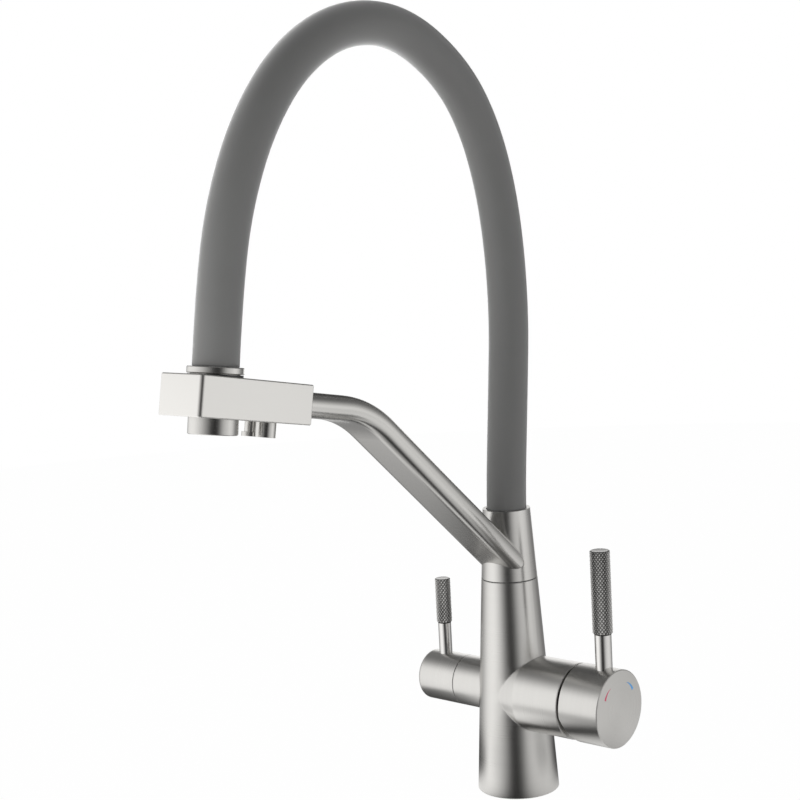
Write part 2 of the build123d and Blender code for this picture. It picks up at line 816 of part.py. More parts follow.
def make_filter_tube():
    """Thin tube for filtered water inside the arm, from the spigot to the block's hollow."""
    path = arm_path(block_hollow_start + block_hollow_length)
    section = Plane(path @ 0, z_dir=path % 0) * Circle(tube_radius)
    bore = Plane(path @ 0, z_dir=path % 0) * Circle(tube_bore_radius)
    tube = sweep(section, path=path) - sweep(bore, path=path)
    tube -= slab(2 * foot_radius, 2 * foot_radius, seam_height, flange_high)
    tube -= rod(hose_nut_radius + loose_fit, flange_high, hose_low)
    tube -= rod(sleeve_mouth_radius, hose_seat_height - loose_fit, sleeve_high)
    return one_solid(tube)


def make_holder_block():
    """Rectangular block with the head's bore, an inner hollow and the outlets' holes."""
    block = Box(block_width, block_length, block_thickness)
    block = Pos(0, block_length / 2 - block_outer_length, 0) * block
    corners = block.edges().filter_by(Axis.Z).group_by(Axis.Y)[0]
    block = fillet(corners, block_corner_radius)
    block = chamfer(block.faces().sort_by(Axis.Z)[-1].edges(), block_edge)
    block = chamfer(block.faces().sort_by(Axis.Z)[0].edges(), block_edge)
    block -= head_lean * rod(block_bore_radius, -block_thickness, block_thickness)
    hollow_middle = block_hollow_start + block_hollow_length / 2
    half_hollow = block_hollow_height / 2
    block -= Pos(0, hollow_middle) * slab(block_hollow_width, block_hollow_length, -half_hollow, half_hollow)
    way_to_arm = extrude(
        Plane((0, hollow_middle, 0), x_dir=(1, 0, 0), z_dir=(0, 1, 0))
        * SlotOverall(block_hollow_width, arm_thickness - 2 * arm_wall),
        amount=block_length,
    )
    block -= way_to_arm
    block -= Pos(outlet_x, outlet_inward) * rod(outlet_radius, -block_thickness, 0)
    block -= Pos(side_outlet_x, outlet_inward) * rod(side_outlet_neck_radius, -block_thickness, 0)
    return at_block * block


def make_holder_bush():
    """Plastic lining of the block's bore, with a thin flange that the collar rests on."""
    inner = nozzle_radius + head_play
    within_block = block_lean * slab(block_length, block_length, -half_block, half_block)
    bush = ring(block_bore_radius, inner, -block_thickness, block_thickness) & within_block
    bush += ring(bush_flange_radius, inner, 0, half_block + bush_flange_thickness)
    return at_head * bush


def make_filter_outlet():
    """Small outlet tube under the block for filtered water."""
    tube = ring(outlet_radius, outlet_bore_radius, outlet_low, -block_hollow_height / 2)
    return at_block * Pos(outlet_x, outlet_inward) * tube


def make_outlet_insert():
    """Jet insert pushed into the small outlet, with a ring of holes."""
    low = outlet_low + outlet_insert_recess
    insert = rod(outlet_bore_radius, low, low + outlet_insert_length)
    insert -= rod(aerator_hole_radius, low - overrun, low + outlet_insert_length + overrun)
    for spot in PolarLocations(outlet_bore_radius / 2, holes_in_first_ring):
        insert -= spot * rod(aerator_hole_radius, low - overrun, low + outlet_insert_length + overrun)
    return at_block * Pos(outlet_x, outlet_inward) * insert


def make_side_outlet():
    """Narrow fitting beside the outlet, with a wider ring at its end."""
    top = -block_hollow_height / 2
    fitting = rod(side_outlet_neck_radius, side_outlet_low, top)
    fitting += rod(side_outlet_ring_radius, side_outlet_low, side_outlet_low + side_outlet_ring_thickness)
    fitting -= rod(side_outlet_bore_radius, side_outlet_low - overrun, top + overrun)
    return at_block * Pos(side_outlet_x, outlet_inward) * fitting


# Hose


def hose_path(low_height, end_up):
    """Middle line of the hose: up from the sleeve, over the arch and down onto the head's axis.

    Each corner is rounded by an arc that takes a share of the shorter run beside it."""
    corners = [Vector(0, 0, low_height)]
    for inward_share, rise_share in arch_shares:
        y = -reach * (1 - inward_share)
        corners.append(Vector(0, y, sleeve_high + arch_rise * rise_share))
    end = tilted_place(head_tilt, 0, end_up)
    last_run = arch_last_run_share * (corners[-1] - end).length
    corners.append(tilted_place(head_tilt, 0, end_up + last_run))
    corners.append(end)
    radii = []
    for before, here, after in zip(corners[:-2], corners[1:-1], corners[2:]):
        run = min((here - before).length, (after - here).length)
        turn = math.radians((here - before).get_angle(after - here))
        radii.append(arc_run_share * run / math.tan(turn / 2))
    return FilletPolyline(*corners, radius=radii)


def tube_along(path, outer, bore):
    """A round tube along a path."""
    section = Plane(path @ 0, z_dir=path % 0)
    return sweep(section * Circle(outer), path=path) - sweep(section * Circle(bore), path=path)


def make_hose_sleeve():
    """Silicone outer hose from its seat in the sleeve to the head's collar."""
    return tube_along(hose_path(hose_low, collar_high), hose_radius, hose_bore_radius)


def make_inner_hose():
    """Water hose inside the silicone one, from its nut to the head's nipple."""
    return tube_along(hose_path(hose_seat_height, nipple_high), inner_hose_radius, inner_hose_bore_radius)


def make_hose_nut():
    """Six-sided nut that fastens the water hose on the spigot's neck."""
    nut = extrude(RegularPolygon(hose_nut_radius, hexagon_sides), amount=hose_seat_height - flange_high)
    nut = Pos(0, 0, flange_high) * nut
    nut -= rod(spigot_neck_radius, flange_high - overrun, neck_high)
    nut -= rod(inner_hose_bore_radius, neck_high - overrun, hose_seat_height + overrun)
    return nut


def make_hose_seat():
    """Plastic ring in the sleeve that the silicone hose stands on."""
    bore = inner_hose_radius + loose_fit
    return ring(sleeve_mouth_radius - push_fit, bore, hose_seat_height, hose_low)


# Head


def make_hose_collar():
    """Steel collar between the hose and the nozzle."""
    collar = rod(collar_radius, collar_low, collar_high)
    collar = chamfer(collar.edges(), collar_edge)
    collar -= rod(nipple_radius, collar_low - overrun, collar_high + overrun)
    return at_head * collar


def make_nozzle_body():
    """Steel nozzle shell through the block, closed at its top but for the nipple's hole."""
    shell = rod(nozzle_radius, nozzle_low, collar_low)
    shell = chamfer(shell.edges().sort_by(Axis.Z)[0], collar_edge)
    shell -= rod(nozzle_radius - nozzle_wall, nozzle_low - overrun, collar_low - nozzle_top_thickness)
    shell -= rod(nipple_radius, nozzle_low, collar_low + overrun)
    return at_head * shell


def make_hose_nipple():
    """Brass nipple that joins the water hose to the nozzle."""
    flange_top = collar_low - nozzle_top_thickness
    nipple = rod(nipple_radius, flange_top, nipple_high)
    nipple += rod(nipple_flange_radius, flange_top - nipple_flange_thickness, flange_top)
    nipple -= rod(inner_hose_bore_radius, nozzle_low, nipple_high + overrun)
    return at_head * nipple


aerator_low = nozzle_low + aerator_recess
aerator_high = aerator_low + aerator_length
aerator_inner_radius = nozzle_radius - nozzle_wall - aerator_wall


def make_aerator_housing():
    """Screwed ring in the nozzle's mouth."""
    outer = nozzle_radius - nozzle_wall
    return at_head * ring(outer, aerator_inner_radius, aerator_low, aerator_high)


def make_aerator_core():
    """Jet plate of the aerator, with rings of small holes."""
    low = aerator_low + aerator_core_recess
    core = rod(aerator_inner_radius, low, aerator_high)
    holes = rod(aerator_hole_radius, low - overrun, aerator_high + overrun)
    bars = [holes]
    for ring_number in range(1, aerator_hole_rings + 1):
        for spot in PolarLocations(aerator_hole_pitch * ring_number, holes_in_first_ring * ring_number):
            bars.append(spot * holes)
    core -= bars
    return at_head * core


def make_nozzle_washer():
    """Rubber washer between the aerator and the check valve."""
    outer = nozzle_radius - nozzle_wall - push_fit
    bore = check_valve_radius / 2
    return at_head * ring(outer, bore, aerator_high, aerator_high + washer_thickness)


def make_check_valve():
    """Plastic non-return valve between the washer and the nipple."""
    low = aerator_high + washer_thickness
    high = collar_low - nozzle_top_thickness - nipple_flange_thickness
    bore = check_valve_radius / 2
    return at_head * ring(check_valve_radius, bore, low, high)


def make_all():
    """Every sub-part under its own name."""
    mixer_socket = barrel_height + mixer_cap_radius - mixer_lever_socket
    filter_socket = barrel_height + stub_radius - filter_lever_socket
    return {
        "body_casting": make_body_casting(),
        "inlet_insert": make_inlet_insert(),
        "base_gasket": make_base_gasket(),
        "cartridge_port_seals": make_port_seals(),
        "cartridge_base": make_cartridge_base(),
        "fixed_ceramic_disc": make_fixed_ceramic_disc(),
        "cartridge_shell": make_cartridge_shell(),
        "cartridge_nut": make_cartridge_nut(),
        "dust_ring": make_dust_ring(),
        "cartridge_carrier": make_carrier(),
        "pivot_pin": make_pivot_pin(),
        "moving_ceramic_disc": make_moving_ceramic_disc(),
        "mixer_spindle": make_mixer_spindle(),
        "mixer_cap": make_mixer_cap(),
        "hot_mark": make_mark(-1),
        "cold_mark": make_mark(1),
        "mixer_grub_screw": make_screw(mixer_screw_x, mixer_boss_radius, mixer_screw_length),
        "mixer_lever_rod": make_lever_rod(
            mixer_lever_x, mixer_lever_radius, mixer_socket,
            mixer_grip_low, mixer_grip_core_radius, mixer_grip_high,
        ),
        "mixer_grip": make_grip(
            mixer_lever_x, mixer_grip_radius, mixer_grip_low, mixer_grip_high, mixer_grip_core_radius,
        ),
        "filter_valve_seal": make_valve_seal(),
        "filter_valve_body": make_valve_body(),
        "fixed_valve_disc": make_fixed_valve_disc(),
        "moving_valve_disc": make_moving_valve_disc(),
        "filter_spindle": make_filter_spindle(),
        "filter_spindle_seal": make_spindle_seal(),
        "filter_cap": make_filter_cap(),
        "filter_grub_screw": make_screw(-filter_screw_x, filter_boss_radius, filter_screw_length),
        "filter_lever_rod": make_lever_rod(
            -filter_lever_x, filter_lever_radius, filter_socket,
            filter_grip_low, filter_grip_core_radius, filter_grip_high,
        ),
        "filter_grip": make_grip(
            -filter_lever_x, filter_grip_radius, filter_grip_low, filter_grip_high, filter_grip_core_radius,
        ),
        "swivel_ring": make_swivel_ring(),
        "retaining_screw": make_retaining_screw(),
        "swivel_spigot": make_swivel_spigot(),
        "spigot_seals": make_spigot_seals(),
        "spout_sleeve": make_spout_sleeve(),
        "support_arm": make_support_arm(),
        "filter_tube": make_filter_tube(),
        "holder_block": make_holder_block(),
        "holder_bush": make_holder_bush(),
        "filter_outlet": make_filter_outlet(),
        "outlet_insert": make_outlet_insert(),
        "side_outlet": make_side_outlet(),
        "hose_nut": make_hose_nut(),
        "hose_seat": make_hose_seat(),
        "hose_sleeve": make_hose_sleeve(),
        "inner_hose": make_inner_hose(),
        "hose_collar": make_hose_collar(),
        "nozzle_body": make_nozzle_body(),
        "hose_nipple": make_hose_nipple(),
        "aerator_housing": make_aerator_housing(),
        "aerator_core": make_aerator_core(),
        "nozzle_washer": make_nozzle_washer(),
        "check_valve": make_check_valve(),
    }


def main():
    """Writes one file for each sub-part."""
    os.makedirs("parts", exist_ok=True)
    for name, shape in make_all().items():
        export_step(shape, f"parts/{name}.step")


if __name__ == "__main__":
    main()
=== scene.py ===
import math

import bpy
import numpy as np
from bpy.props import FloatProperty, FloatVectorProperty, IntProperty, PointerProperty
from bpy.types import Operator, Panel, PropertyGroup
from mathutils import Matrix, Vector


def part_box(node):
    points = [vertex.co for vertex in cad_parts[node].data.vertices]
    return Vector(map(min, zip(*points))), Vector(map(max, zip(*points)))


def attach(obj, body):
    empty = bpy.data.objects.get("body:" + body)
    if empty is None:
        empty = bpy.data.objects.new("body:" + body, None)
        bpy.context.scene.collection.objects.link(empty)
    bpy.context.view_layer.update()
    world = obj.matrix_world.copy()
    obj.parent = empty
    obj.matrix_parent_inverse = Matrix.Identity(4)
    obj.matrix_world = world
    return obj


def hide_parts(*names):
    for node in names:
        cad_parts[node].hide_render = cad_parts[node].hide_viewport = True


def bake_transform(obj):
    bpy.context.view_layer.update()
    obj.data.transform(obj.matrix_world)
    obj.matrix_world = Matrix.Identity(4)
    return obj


bl_info = {
    "name": "Kitchen filter tap",
    "version": (1, 0, 0),
    "blender": (4, 5, 0),
    "location": "View3D > Sidebar > Tap",
    "description": "Dresses a kitchen tap: its hoses, knurled grips, finishes and a plain studio",
    "category": "Object",
}

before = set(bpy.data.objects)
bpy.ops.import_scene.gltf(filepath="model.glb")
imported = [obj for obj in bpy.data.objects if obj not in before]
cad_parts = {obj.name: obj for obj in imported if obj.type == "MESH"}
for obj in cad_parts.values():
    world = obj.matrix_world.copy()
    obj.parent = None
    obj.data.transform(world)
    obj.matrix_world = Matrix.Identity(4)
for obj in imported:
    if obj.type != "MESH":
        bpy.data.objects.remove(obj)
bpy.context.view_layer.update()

MM = 0.001


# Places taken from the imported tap, in metres


def middle_of(node):
    """Middle of a node's box: half the sum of its lowest and highest corners."""
    low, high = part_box(node)
    return (low + high) / 2


BARREL_HEIGHT = middle_of("mixer_cap").z
MIXER_LEVER = middle_of("mixer_grip")
FILTER_LEVER = middle_of("filter_grip")
SLEEVE_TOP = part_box("spout_sleeve")[1].z
HOSE_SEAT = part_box("hose_seat")[1].z
WATER_HOSE_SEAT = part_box("hose_seat")[0].z
HEAD_TILT = math.radians(8.4)
HEAD_AXIS = Vector((0.0, math.sin(HEAD_TILT), math.cos(HEAD_TILT)))
BLOCK_TILT = math.radians(10.6)
BLOCK_AXIS = Vector((0.0, math.sin(BLOCK_TILT), math.cos(BLOCK_TILT)))
BLOCK_INWARDS = Vector((0.0, math.cos(BLOCK_TILT), -math.sin(BLOCK_TILT)))
REACH = 228.6 * MM
BLOCK_MIDDLE = Vector((0.0, -REACH, 270.5 * MM))
OUTLET_INWARDS = 33.0 * MM
COLLAR_TOP = 15.4 * MM
NIPPLE_TOP = 20.4 * MM
MIXER_GRIP_BORE = 4.9 * MM
FILTER_GRIP_BORE = 4.0 * MM
OUTLET_SIDE = 4.2 * MM
FITTING_SIDE = -7.0 * MM

# Corners that the hose goes round: inward shares of the reach, and shares of the rise above the sleeve
ARCH_RISE = 285.4 * MM
ARCH_SHARES = (
    (1.000, 0.022), (1.027, 0.228), (1.051, 0.431), (1.029, 0.641), (0.963, 0.803), (0.855, 0.916),
    (0.670, 1.000), (0.471, 1.000), (0.296, 0.930), (0.165, 0.811), (0.078, 0.666),
)
LAST_RUN_SHARE = 0.45


# Sizes and colours that a user would change


class HoseSizes(PropertyGroup):
    """Sizes of the silicone hose and of the water hose inside it."""

    radius: FloatProperty(
        name="Hose radius", description="Outer radius of the silicone hose",
        default=12.0 * MM, min=0.005, unit="LENGTH",
    )
    bore_radius: FloatProperty(
        name="Hose bore", description="Inner radius of the silicone hose",
        default=9.0 * MM, min=0.003, unit="LENGTH",
    )
    end_round: FloatProperty(
        name="End rounding", description="How far the silicone hose's ends are rounded off",
        default=0.5 * MM, min=0.0, unit="LENGTH",
    )
    water_radius: FloatProperty(
        name="Water hose radius", description="Outer radius of the braided water hose",
        default=6.45 * MM, min=0.003, unit="LENGTH",
    )
    water_bore_radius: FloatProperty(
        name="Water hose bore", description="Inner radius of the braided water hose",
        default=4.0 * MM, min=0.001, unit="LENGTH",
    )
    rings: IntProperty(
        name="Rings", description="Number of rings along each hose", default=260, min=20,
    )
    sides: IntProperty(
        name="Sides", description="Number of points round each hose", default=72, min=12,
    )


class KnurlSizes(PropertyGroup):
    """Sizes of the diamond knurling on both grips."""

    pitch: FloatProperty(
        name="Diamond width", description="Width of one diamond round the grip",
        default=1.95 * MM, min=0.0002, unit="LENGTH",
    )
    slant: FloatProperty(
        name="Slant", description="Height of one diamond against its width", default=1.3, min=0.2,
    )
    depth: FloatProperty(
        name="Depth", description="Depth of the grooves between the diamonds",
        default=0.55 * MM, min=0.0, unit="LENGTH",
    )
    edge: FloatProperty(
        name="Edge", description="Plain bevelled edge at the low end of a grip",
        default=0.5 * MM, min=0.0, unit="LENGTH",
    )
    steps: IntProperty(
        name="Steps", description="Points across one diamond", default=6, min=4,
    )


class FinishColours(PropertyGroup):
    """Colours of the tap's finishes."""

    steel: FloatVectorProperty(
        name="Brushed steel", description="Colour of the brushed stainless steel",
        subtype="COLOR", size=3, min=0.0, max=1.0, default=(0.640, 0.632, 0.615),
    )
    polished: FloatVectorProperty(
        name="Polished steel", description="Colour of the levers' bars",
        subtype="COLOR", size=3, min=0.0, max=1.0, default=(0.720, 0.712, 0.700),
    )
    knurled: FloatVectorProperty(
        name="Knurled steel", description="Colour of the grips",
        subtype="COLOR", size=3, min=0.0, max=1.0, default=(0.560, 0.555, 0.545),
    )
    hose: FloatVectorProperty(
        name="Hose", description="Colour of the silicone hose",
        subtype="COLOR", size=3, min=0.0, max=1.0, default=(0.096, 0.096, 0.094),
    )
    hot: FloatVectorProperty(
        name="Hot mark", description="Colour of the hot mark",
        subtype="COLOR", size=3, min=0.0, max=1.0, default=(0.560, 0.045, 0.120),
    )
    cold: FloatVectorProperty(
        name="Cold mark", description="Colour of the cold mark",
        subtype="COLOR", size=3, min=0.0, max=1.0, default=(0.060, 0.310, 0.680),
    )


class StudioSizes(PropertyGroup):
    """Sizes of the studio round the tap."""

    shell_radius: FloatProperty(
        name="Light shell radius", description="How far the soft boxes and dark cards stand from the tap",
        default=0.55, min=0.4, unit="LENGTH",
    )
    floor_radius: FloatProperty(
        name="Floor radius", description="Radius of the pale floor",
        default=1.6, min=0.3, unit="LENGTH",
    )
    lens: FloatProperty(
        name="Lens", description="Focal length for a 36 mm wide picture",
        default=75.72, min=10.0, unit="CAMERA",
    )
    lamp_power: FloatProperty(
        name="Lamp power", description="Power of the larger soft lamp", default=25.0, min=0.0, unit="POWER",
    )
    world_level: FloatProperty(
        name="World level", description="Level of the even light from all round", default=0.15, min=0.0,
    )


# Surfaces

# Steps between a route's corners, and rows over the rounded edge of a hose's end
CURVE_STEPS = 24
EDGE_ROWS = 5

# A grip: its top lip's share of the low edge, how steep the diamonds are, and the bore's first rows
LIP_SHARE = 0.3
DIAMOND_STEEPNESS = 1.25
BORE_DEPTH = 3.0 * MM
BORE_EDGE = 0.2 * MM

# A grip's top: its rows, the dish's ring and depth, and its value between the grooves' and the points',
# which sets both its painted shade and its gloss
TOP_ROWS = 3
DISH_RING_SHARE = 0.5
DISH_DEPTH_SHARE = 0.25
TOP_SHADE_AND_GLOSS = 0.62


def grid_mesh(name, points, closed_along=False, caps=False):
    """A mesh from a grid of points, rows along and columns round.

    Each face joins four neighbours: (i, j), (i, j+1), (i+1, j+1), (i+1, j). The last column joins
    the first, and where the grid is closed along, the last row joins the first as well. Caps close
    the first and last rows with one face each."""
    rows, columns = points.shape[:2]
    i = np.arange(rows if closed_along else rows - 1)[:, None]
    j = np.arange(columns)[None, :]
    next_i, next_j = (i + 1) % rows, (j + 1) % columns
    corner = [i * columns + j, i * columns + next_j, next_i * columns + next_j, next_i * columns + j]
    faces = np.stack([np.broadcast_to(c, (i.size, j.size)) for c in corner], axis=-1).reshape(-1, 4)
    faces = faces.tolist()
    if caps:
        faces.append(list(range(columns))[::-1])
        faces.append(list(range((rows - 1) * columns, rows * columns)))
    mesh = bpy.data.meshes.new(name)
    mesh.from_pydata(points.reshape(-1, 3).tolist(), [], faces)
    mesh.update()
    return mesh


def add_piece(name, mesh, material, smooth=True):
    """Puts a mesh into the scene at the origin, with one material, shaded smooth or flat."""
    mesh.polygons.foreach_set("use_smooth", [smooth] * len(mesh.polygons))
    mesh.materials.append(material)
    piece = bpy.data.objects.new(name, mesh)
    bpy.context.scene.collection.objects.link(piece)
    return piece


def along_across_map(mesh, rows, columns, length, girth):
    """A UV map in metres for a hose's closed grid: u goes across, round the girth, and v along it.

    The face at row i and column j gets u = j / columns * girth and v = i / rows * 2 * length, as the
    rows go out along the outside and back along the bore, with no jump back at the seam."""
    i = np.repeat(np.arange(rows), columns)
    j = np.tile(np.arange(columns), rows)
    u = np.stack([j, j + 1, j + 1, j], axis=-1) / columns * girth
    v = np.stack([i, i, i + 1, i + 1], axis=-1) / rows * 2.0 * length
    layer = mesh.uv_layers.new(name="along")
    layer.data.foreach_set("uv", np.stack([u, v], axis=-1).reshape(-1).astype(np.float32))


def route_line(corners, name):
    """Points along a smooth curve that rounds the route's corners.

    The curve is a NURBS spline of order 3 that has the corners as its control points."""
    curve = bpy.data.curves.new(name, "CURVE")
    curve.dimensions = "3D"
    curve.resolution_u = CURVE_STEPS
    spline = curve.splines.new("NURBS")
    spline.points.add(len(corners) - 1)
    spline.points.foreach_set("co", [value for corner in corners for value in (*corner, 1.0)])
    spline.order_u = 3
    spline.use_endpoint_u = True
    holder = bpy.data.objects.new(name, curve)
    bpy.context.scene.collection.objects.link(holder)
    bpy.context.view_layer.update()
    line = bpy.data.meshes.new_from_object(holder.evaluated_get(bpy.context.evaluated_depsgraph_get()))
    points = np.zeros(len(line.vertices) * 3)
    line.vertices.foreach_get("co", points)
    bpy.data.meshes.remove(line)
    bpy.data.objects.remove(holder)
    bpy.data.curves.remove(curve)
    return points.reshape(-1, 3)


def even_line(points, count):
    """The same line as evenly spaced points: each coordinate read off against the length so far."""
    steps = np.linalg.norm(np.diff(points, axis=0), axis=1)
    so_far = np.concatenate([[0.0], np.cumsum(steps)])
    wanted = np.linspace(0.0, so_far[-1], count)
    return np.stack([np.interp(wanted, so_far, points[:, k]) for k in range(3)], axis=-1), so_far[-1]


def hose_corners(low, high_on_axis):
    """The hose's corners: its low end, the arch's corners, and two on the head's axis."""
    corners = [Vector((0.0, 0.0, low))]
    for inward, rise in ARCH_SHARES:
        corners.append(Vector((0.0, -REACH * (1.0 - inward), SLEEVE_TOP + ARCH_RISE * rise)))
    end = BLOCK_MIDDLE + HEAD_AXIS * high_on_axis
    last_run = LAST_RUN_SHARE * (corners[-1] - end).length
    return corners + [end + HEAD_AXIS * last_run, end]


def round_trip(direction):
    """A direction for each of a hose's rows: held over both ends' edges, and taken backwards inside."""
    starts = np.repeat(direction[:1], EDGE_ROWS, axis=0)
    ends = np.repeat(direction[-1:], EDGE_ROWS, axis=0)
    return np.concatenate([starts, direction[1:-1], ends, direction[1:-1][::-1]])[:, None, :]


def hose_surface(line, outer, bore, end_round, sides):
    """Closed surface of a hose along a line in the plane x = 0.

    At each point the section's first direction is X and its second is X cross the line's heading.
    The rows go along the outside at the outer radius, round the end's edge over to the bore, back
    inside at the bore's radius, and round the first end's edge, where the last row joins the first.
    An end's edge is a quarter ellipse: the radius shrinks by end_round times 1 - cos t while the
    place moves on by end_round times sin t."""
    heading = np.gradient(line, axis=0)
    heading /= np.linalg.norm(heading, axis=1)[:, None]
    first = np.tile([1.0, 0.0, 0.0], (len(line), 1))
    second = np.cross(heading, first)
    t = np.linspace(0.0, np.pi / 2, EDGE_ROWS)
    bend = end_round * (1.0 - np.cos(t))
    on = end_round * np.sin(t)
    inside = line[1:-1][::-1]
    places = np.concatenate([
        line[:1] + heading[:1] * (end_round - on[::-1, None]), line[1:-1],
        line[-1:] - heading[-1:] * (end_round - on[:, None]), inside,
    ])
    radii = np.concatenate([
        outer - bend[::-1], np.full(len(line) - 2, outer), outer - bend, np.full(len(line) - 2, bore),
    ])
    turn = np.linspace(0.0, 2.0 * np.pi, sides, endpoint=False)
    cosine, sine = np.cos(turn)[None, :, None], np.sin(turn)[None, :, None]
    across = cosine * round_trip(first) + sine * round_trip(second)
    return places[:, None, :] + radii[:, None, None] * across


def knurl_height(turn, rise, pitch_count, slant_pitch):
    """Height of the diamonds, from 0 in a groove to 1 on a point.

    Two families of grooves wind round the grip, one each way. A family's height is a triangle wave
    of turn * count / 2 pi plus or minus rise / slant pitch. The diamond's is the lower of the two
    times the steepness, cut off at 1, so that its point is a small flat."""
    right = turn * pitch_count / (2.0 * np.pi) + rise / slant_pitch
    left = turn * pitch_count / (2.0 * np.pi) - rise / slant_pitch
    waves = [np.abs(2.0 * (family - np.floor(family)) - 1.0) for family in (right, left)]
    return np.clip(np.minimum(*waves) * DIAMOND_STEEPNESS, 0.0, 1.0)


def grip_surface(radius, low, high, core, sizes):
    """Closed surface of a knurled grip about the Z axis.

    The outside's radius is the grip's radius less depth * (1 - diamond height), and the height
    fades out at both ends, as min(1, distance from the knurled stretch's end / edge), where the
    top's edge is the lip, a share of the low one. The rows go down the bore to its mouth, up the
    outside and over the top, which is dished by a share of the edge."""
    lip = LIP_SHARE * sizes.edge
    count = int(round(2.0 * np.pi * radius / sizes.pitch))
    columns = count * sizes.steps
    slant_pitch = sizes.pitch * sizes.slant
    rows = int(round((high - low) / slant_pitch * sizes.steps))
    turn = np.linspace(0.0, 2.0 * np.pi, columns, endpoint=False)[None, :]
    rise = np.linspace(low + sizes.edge, high - lip, rows)[:, None]
    fade = np.clip(np.minimum((rise - low - sizes.edge) / sizes.edge, (high - lip - rise) / lip), 0.0, 1.0)
    height = knurl_height(turn, rise - low, count, slant_pitch)
    knurled = radius - sizes.depth * (1.0 - height * fade)
    root = radius - sizes.depth
    below = [
        (core, low + BORE_DEPTH), (core, low + BORE_EDGE), (core + BORE_EDGE, low), (root - sizes.edge, low),
    ]
    above = [
        (root - lip, high), (root - sizes.edge, high),
        (root * DISH_RING_SHARE, high - sizes.edge * DISH_DEPTH_SHARE),
    ]
    ones = np.ones_like(turn)
    radii = np.concatenate([
        np.concatenate([r * ones for r, z in below]), knurled,
        np.concatenate([r * ones for r, z in above]),
    ])
    heights = np.concatenate([
        np.concatenate([z * ones for r, z in below]), rise * ones,
        np.concatenate([z * ones for r, z in above]),
    ])
    return np.stack([radii * np.cos(turn), radii * np.sin(turn), heights], axis=-1)


# Finishes

# Brush marks and bands to a metre, and the height of the marks
LATHE_MARKS = 3600.0
LATHE_BANDS = 320.0
LATHE_STRENGTH = 0.05
FLAT_MARKS = 2400.0
DRAWN_LINES = 2500.0
TOOL_LINES = 1500.0
MOULD_GRAIN = 900.0
MARK_HEIGHT = 0.1 * MM

# How far edges look rounded
EDGE_BEVEL = 0.3 * MM
CASTING_BEVEL = 1.2 * MM
BLOCK_BEVEL = 0.5 * MM
SMALL_BEVEL = 0.2 * MM

# The steel's gloss, the way of the brush marks on the sleeve and the arm, and how much lighter the block's
# steel is painted, as a lit copy of the same steel
BODY_ROUGHNESS = 0.29
UP = (0.0, 0.0, 1.0)
ARM_HEADING = (0.0, 0.75, -0.66)
BLOCK_PAINTED_LIGHT = 1.19

# The water hose's braid: from thread to thread round it, how far the threads lean, and their colour
BRAID_SPACING = 1.8 * MM
BRAID_LEAN = 1.1
BRAID_COLOUR = (0.50, 0.51, 0.53)


class Finish:
    """A material being put together: its node tree, its shader and its place on the tap."""

    def __init__(self, name, colour, roughness, metal=0.0):
        self.material = bpy.data.materials.new(name)
        self.material.use_nodes = True
        self.nodes = self.material.node_tree.nodes
        self.links = self.material.node_tree.links
        self.shader = self.nodes["Principled BSDF"]
        self.colour = (*colour, 1.0)
        self.shader.inputs["Base Color"].default_value = self.colour
        self.shader.inputs["Roughness"].default_value = roughness
        self.shader.inputs["Metallic"].default_value = metal
        self.material.diffuse_color = self.colour

    def node(self, kind, inputs=None, **settings):
        """A new node with its settings, and its inputs linked or set."""
        made = self.nodes.new(kind)
        for name, value in settings.items():
            setattr(made, name, value)
        for key, value in (inputs or {}).items():
            if isinstance(value, bpy.types.NodeSocket):
                self.links.new(value, made.inputs[key])
            else:
                made.inputs[key].default_value = value
        return made

    def math(self, operation, a, b=0.0):
        """One step of arithmetic."""
        return self.node("ShaderNodeMath", {0: a, 1: b}, operation=operation).outputs[0]

    def vector(self, operation, a, b=None, scale=None):
        """One step of vector arithmetic."""
        inputs = {0: a}
        if b is not None:
            inputs[1] = b
        if scale is not None:
            inputs["Scale"] = scale
        made = self.node("ShaderNodeVectorMath", inputs, operation=operation)
        return made.outputs["Value"] if operation in ("DOT_PRODUCT", "LENGTH") else made.outputs["Vector"]

    def place(self):
        """The point's place on the tap, in metres."""
        return self.node("ShaderNodeTexCoord").outputs["Object"]

    def normal(self):
        """The surface's own direction."""
        return self.node("ShaderNodeNewGeometry").outputs["Normal"]

    def mapped(self, place, scale):
        """A place with each coordinate times its own scale."""
        return self.node("ShaderNodeMapping", {"Vector": place, "Scale": scale}).outputs["Vector"]

    def noise(self, place, scale, detail=2.0, rough=0.5):
        """Noise from 0 to 1 that changes about scale times over one unit of the place."""
        made = self.node(
            "ShaderNodeTexNoise", {"Vector": place, "Scale": scale, "Detail": detail, "Roughness": rough},
        )
        return made.outputs["Fac"]

    def spread(self, value, low, high):
        """A value from 0 to 1 carried over to low to high."""
        inputs = {"Value": value, "To Min": low, "To Max": high}
        return self.node("ShaderNodeMapRange", inputs).outputs["Result"]

    def passed(self, value, low, high):
        """0 where a value is below low, 1 above high, and in proportion between them."""
        inputs = {"Value": value, "From Min": low, "From Max": high}
        return self.node("ShaderNodeMapRange", inputs).outputs["Result"]

    def tint(self, value, darker, lighter):
        """The finish's colour times a factor that runs with the value from darker to lighter."""
        factor = self.spread(value, darker, lighter)
        return self.vector("SCALE", self.colour[:3], scale=factor)

    def bump(self, height, strength, distance, bevel=0.0):
        """Bump from a height, over edges softened by a bevel where one is given."""
        inputs = {"Height": height, "Strength": strength, "Distance": distance}
        if bevel:
            inputs["Normal"] = self.node("ShaderNodeBevel", {"Radius": bevel}, samples=4).outputs["Normal"]
        self.links.new(self.node("ShaderNodeBump", inputs).outputs["Normal"], self.shader.inputs["Normal"])

    def use(self, socket, value):
        """Feeds a value to one of the shader's sockets."""
        self.links.new(value, self.shader.inputs[socket])


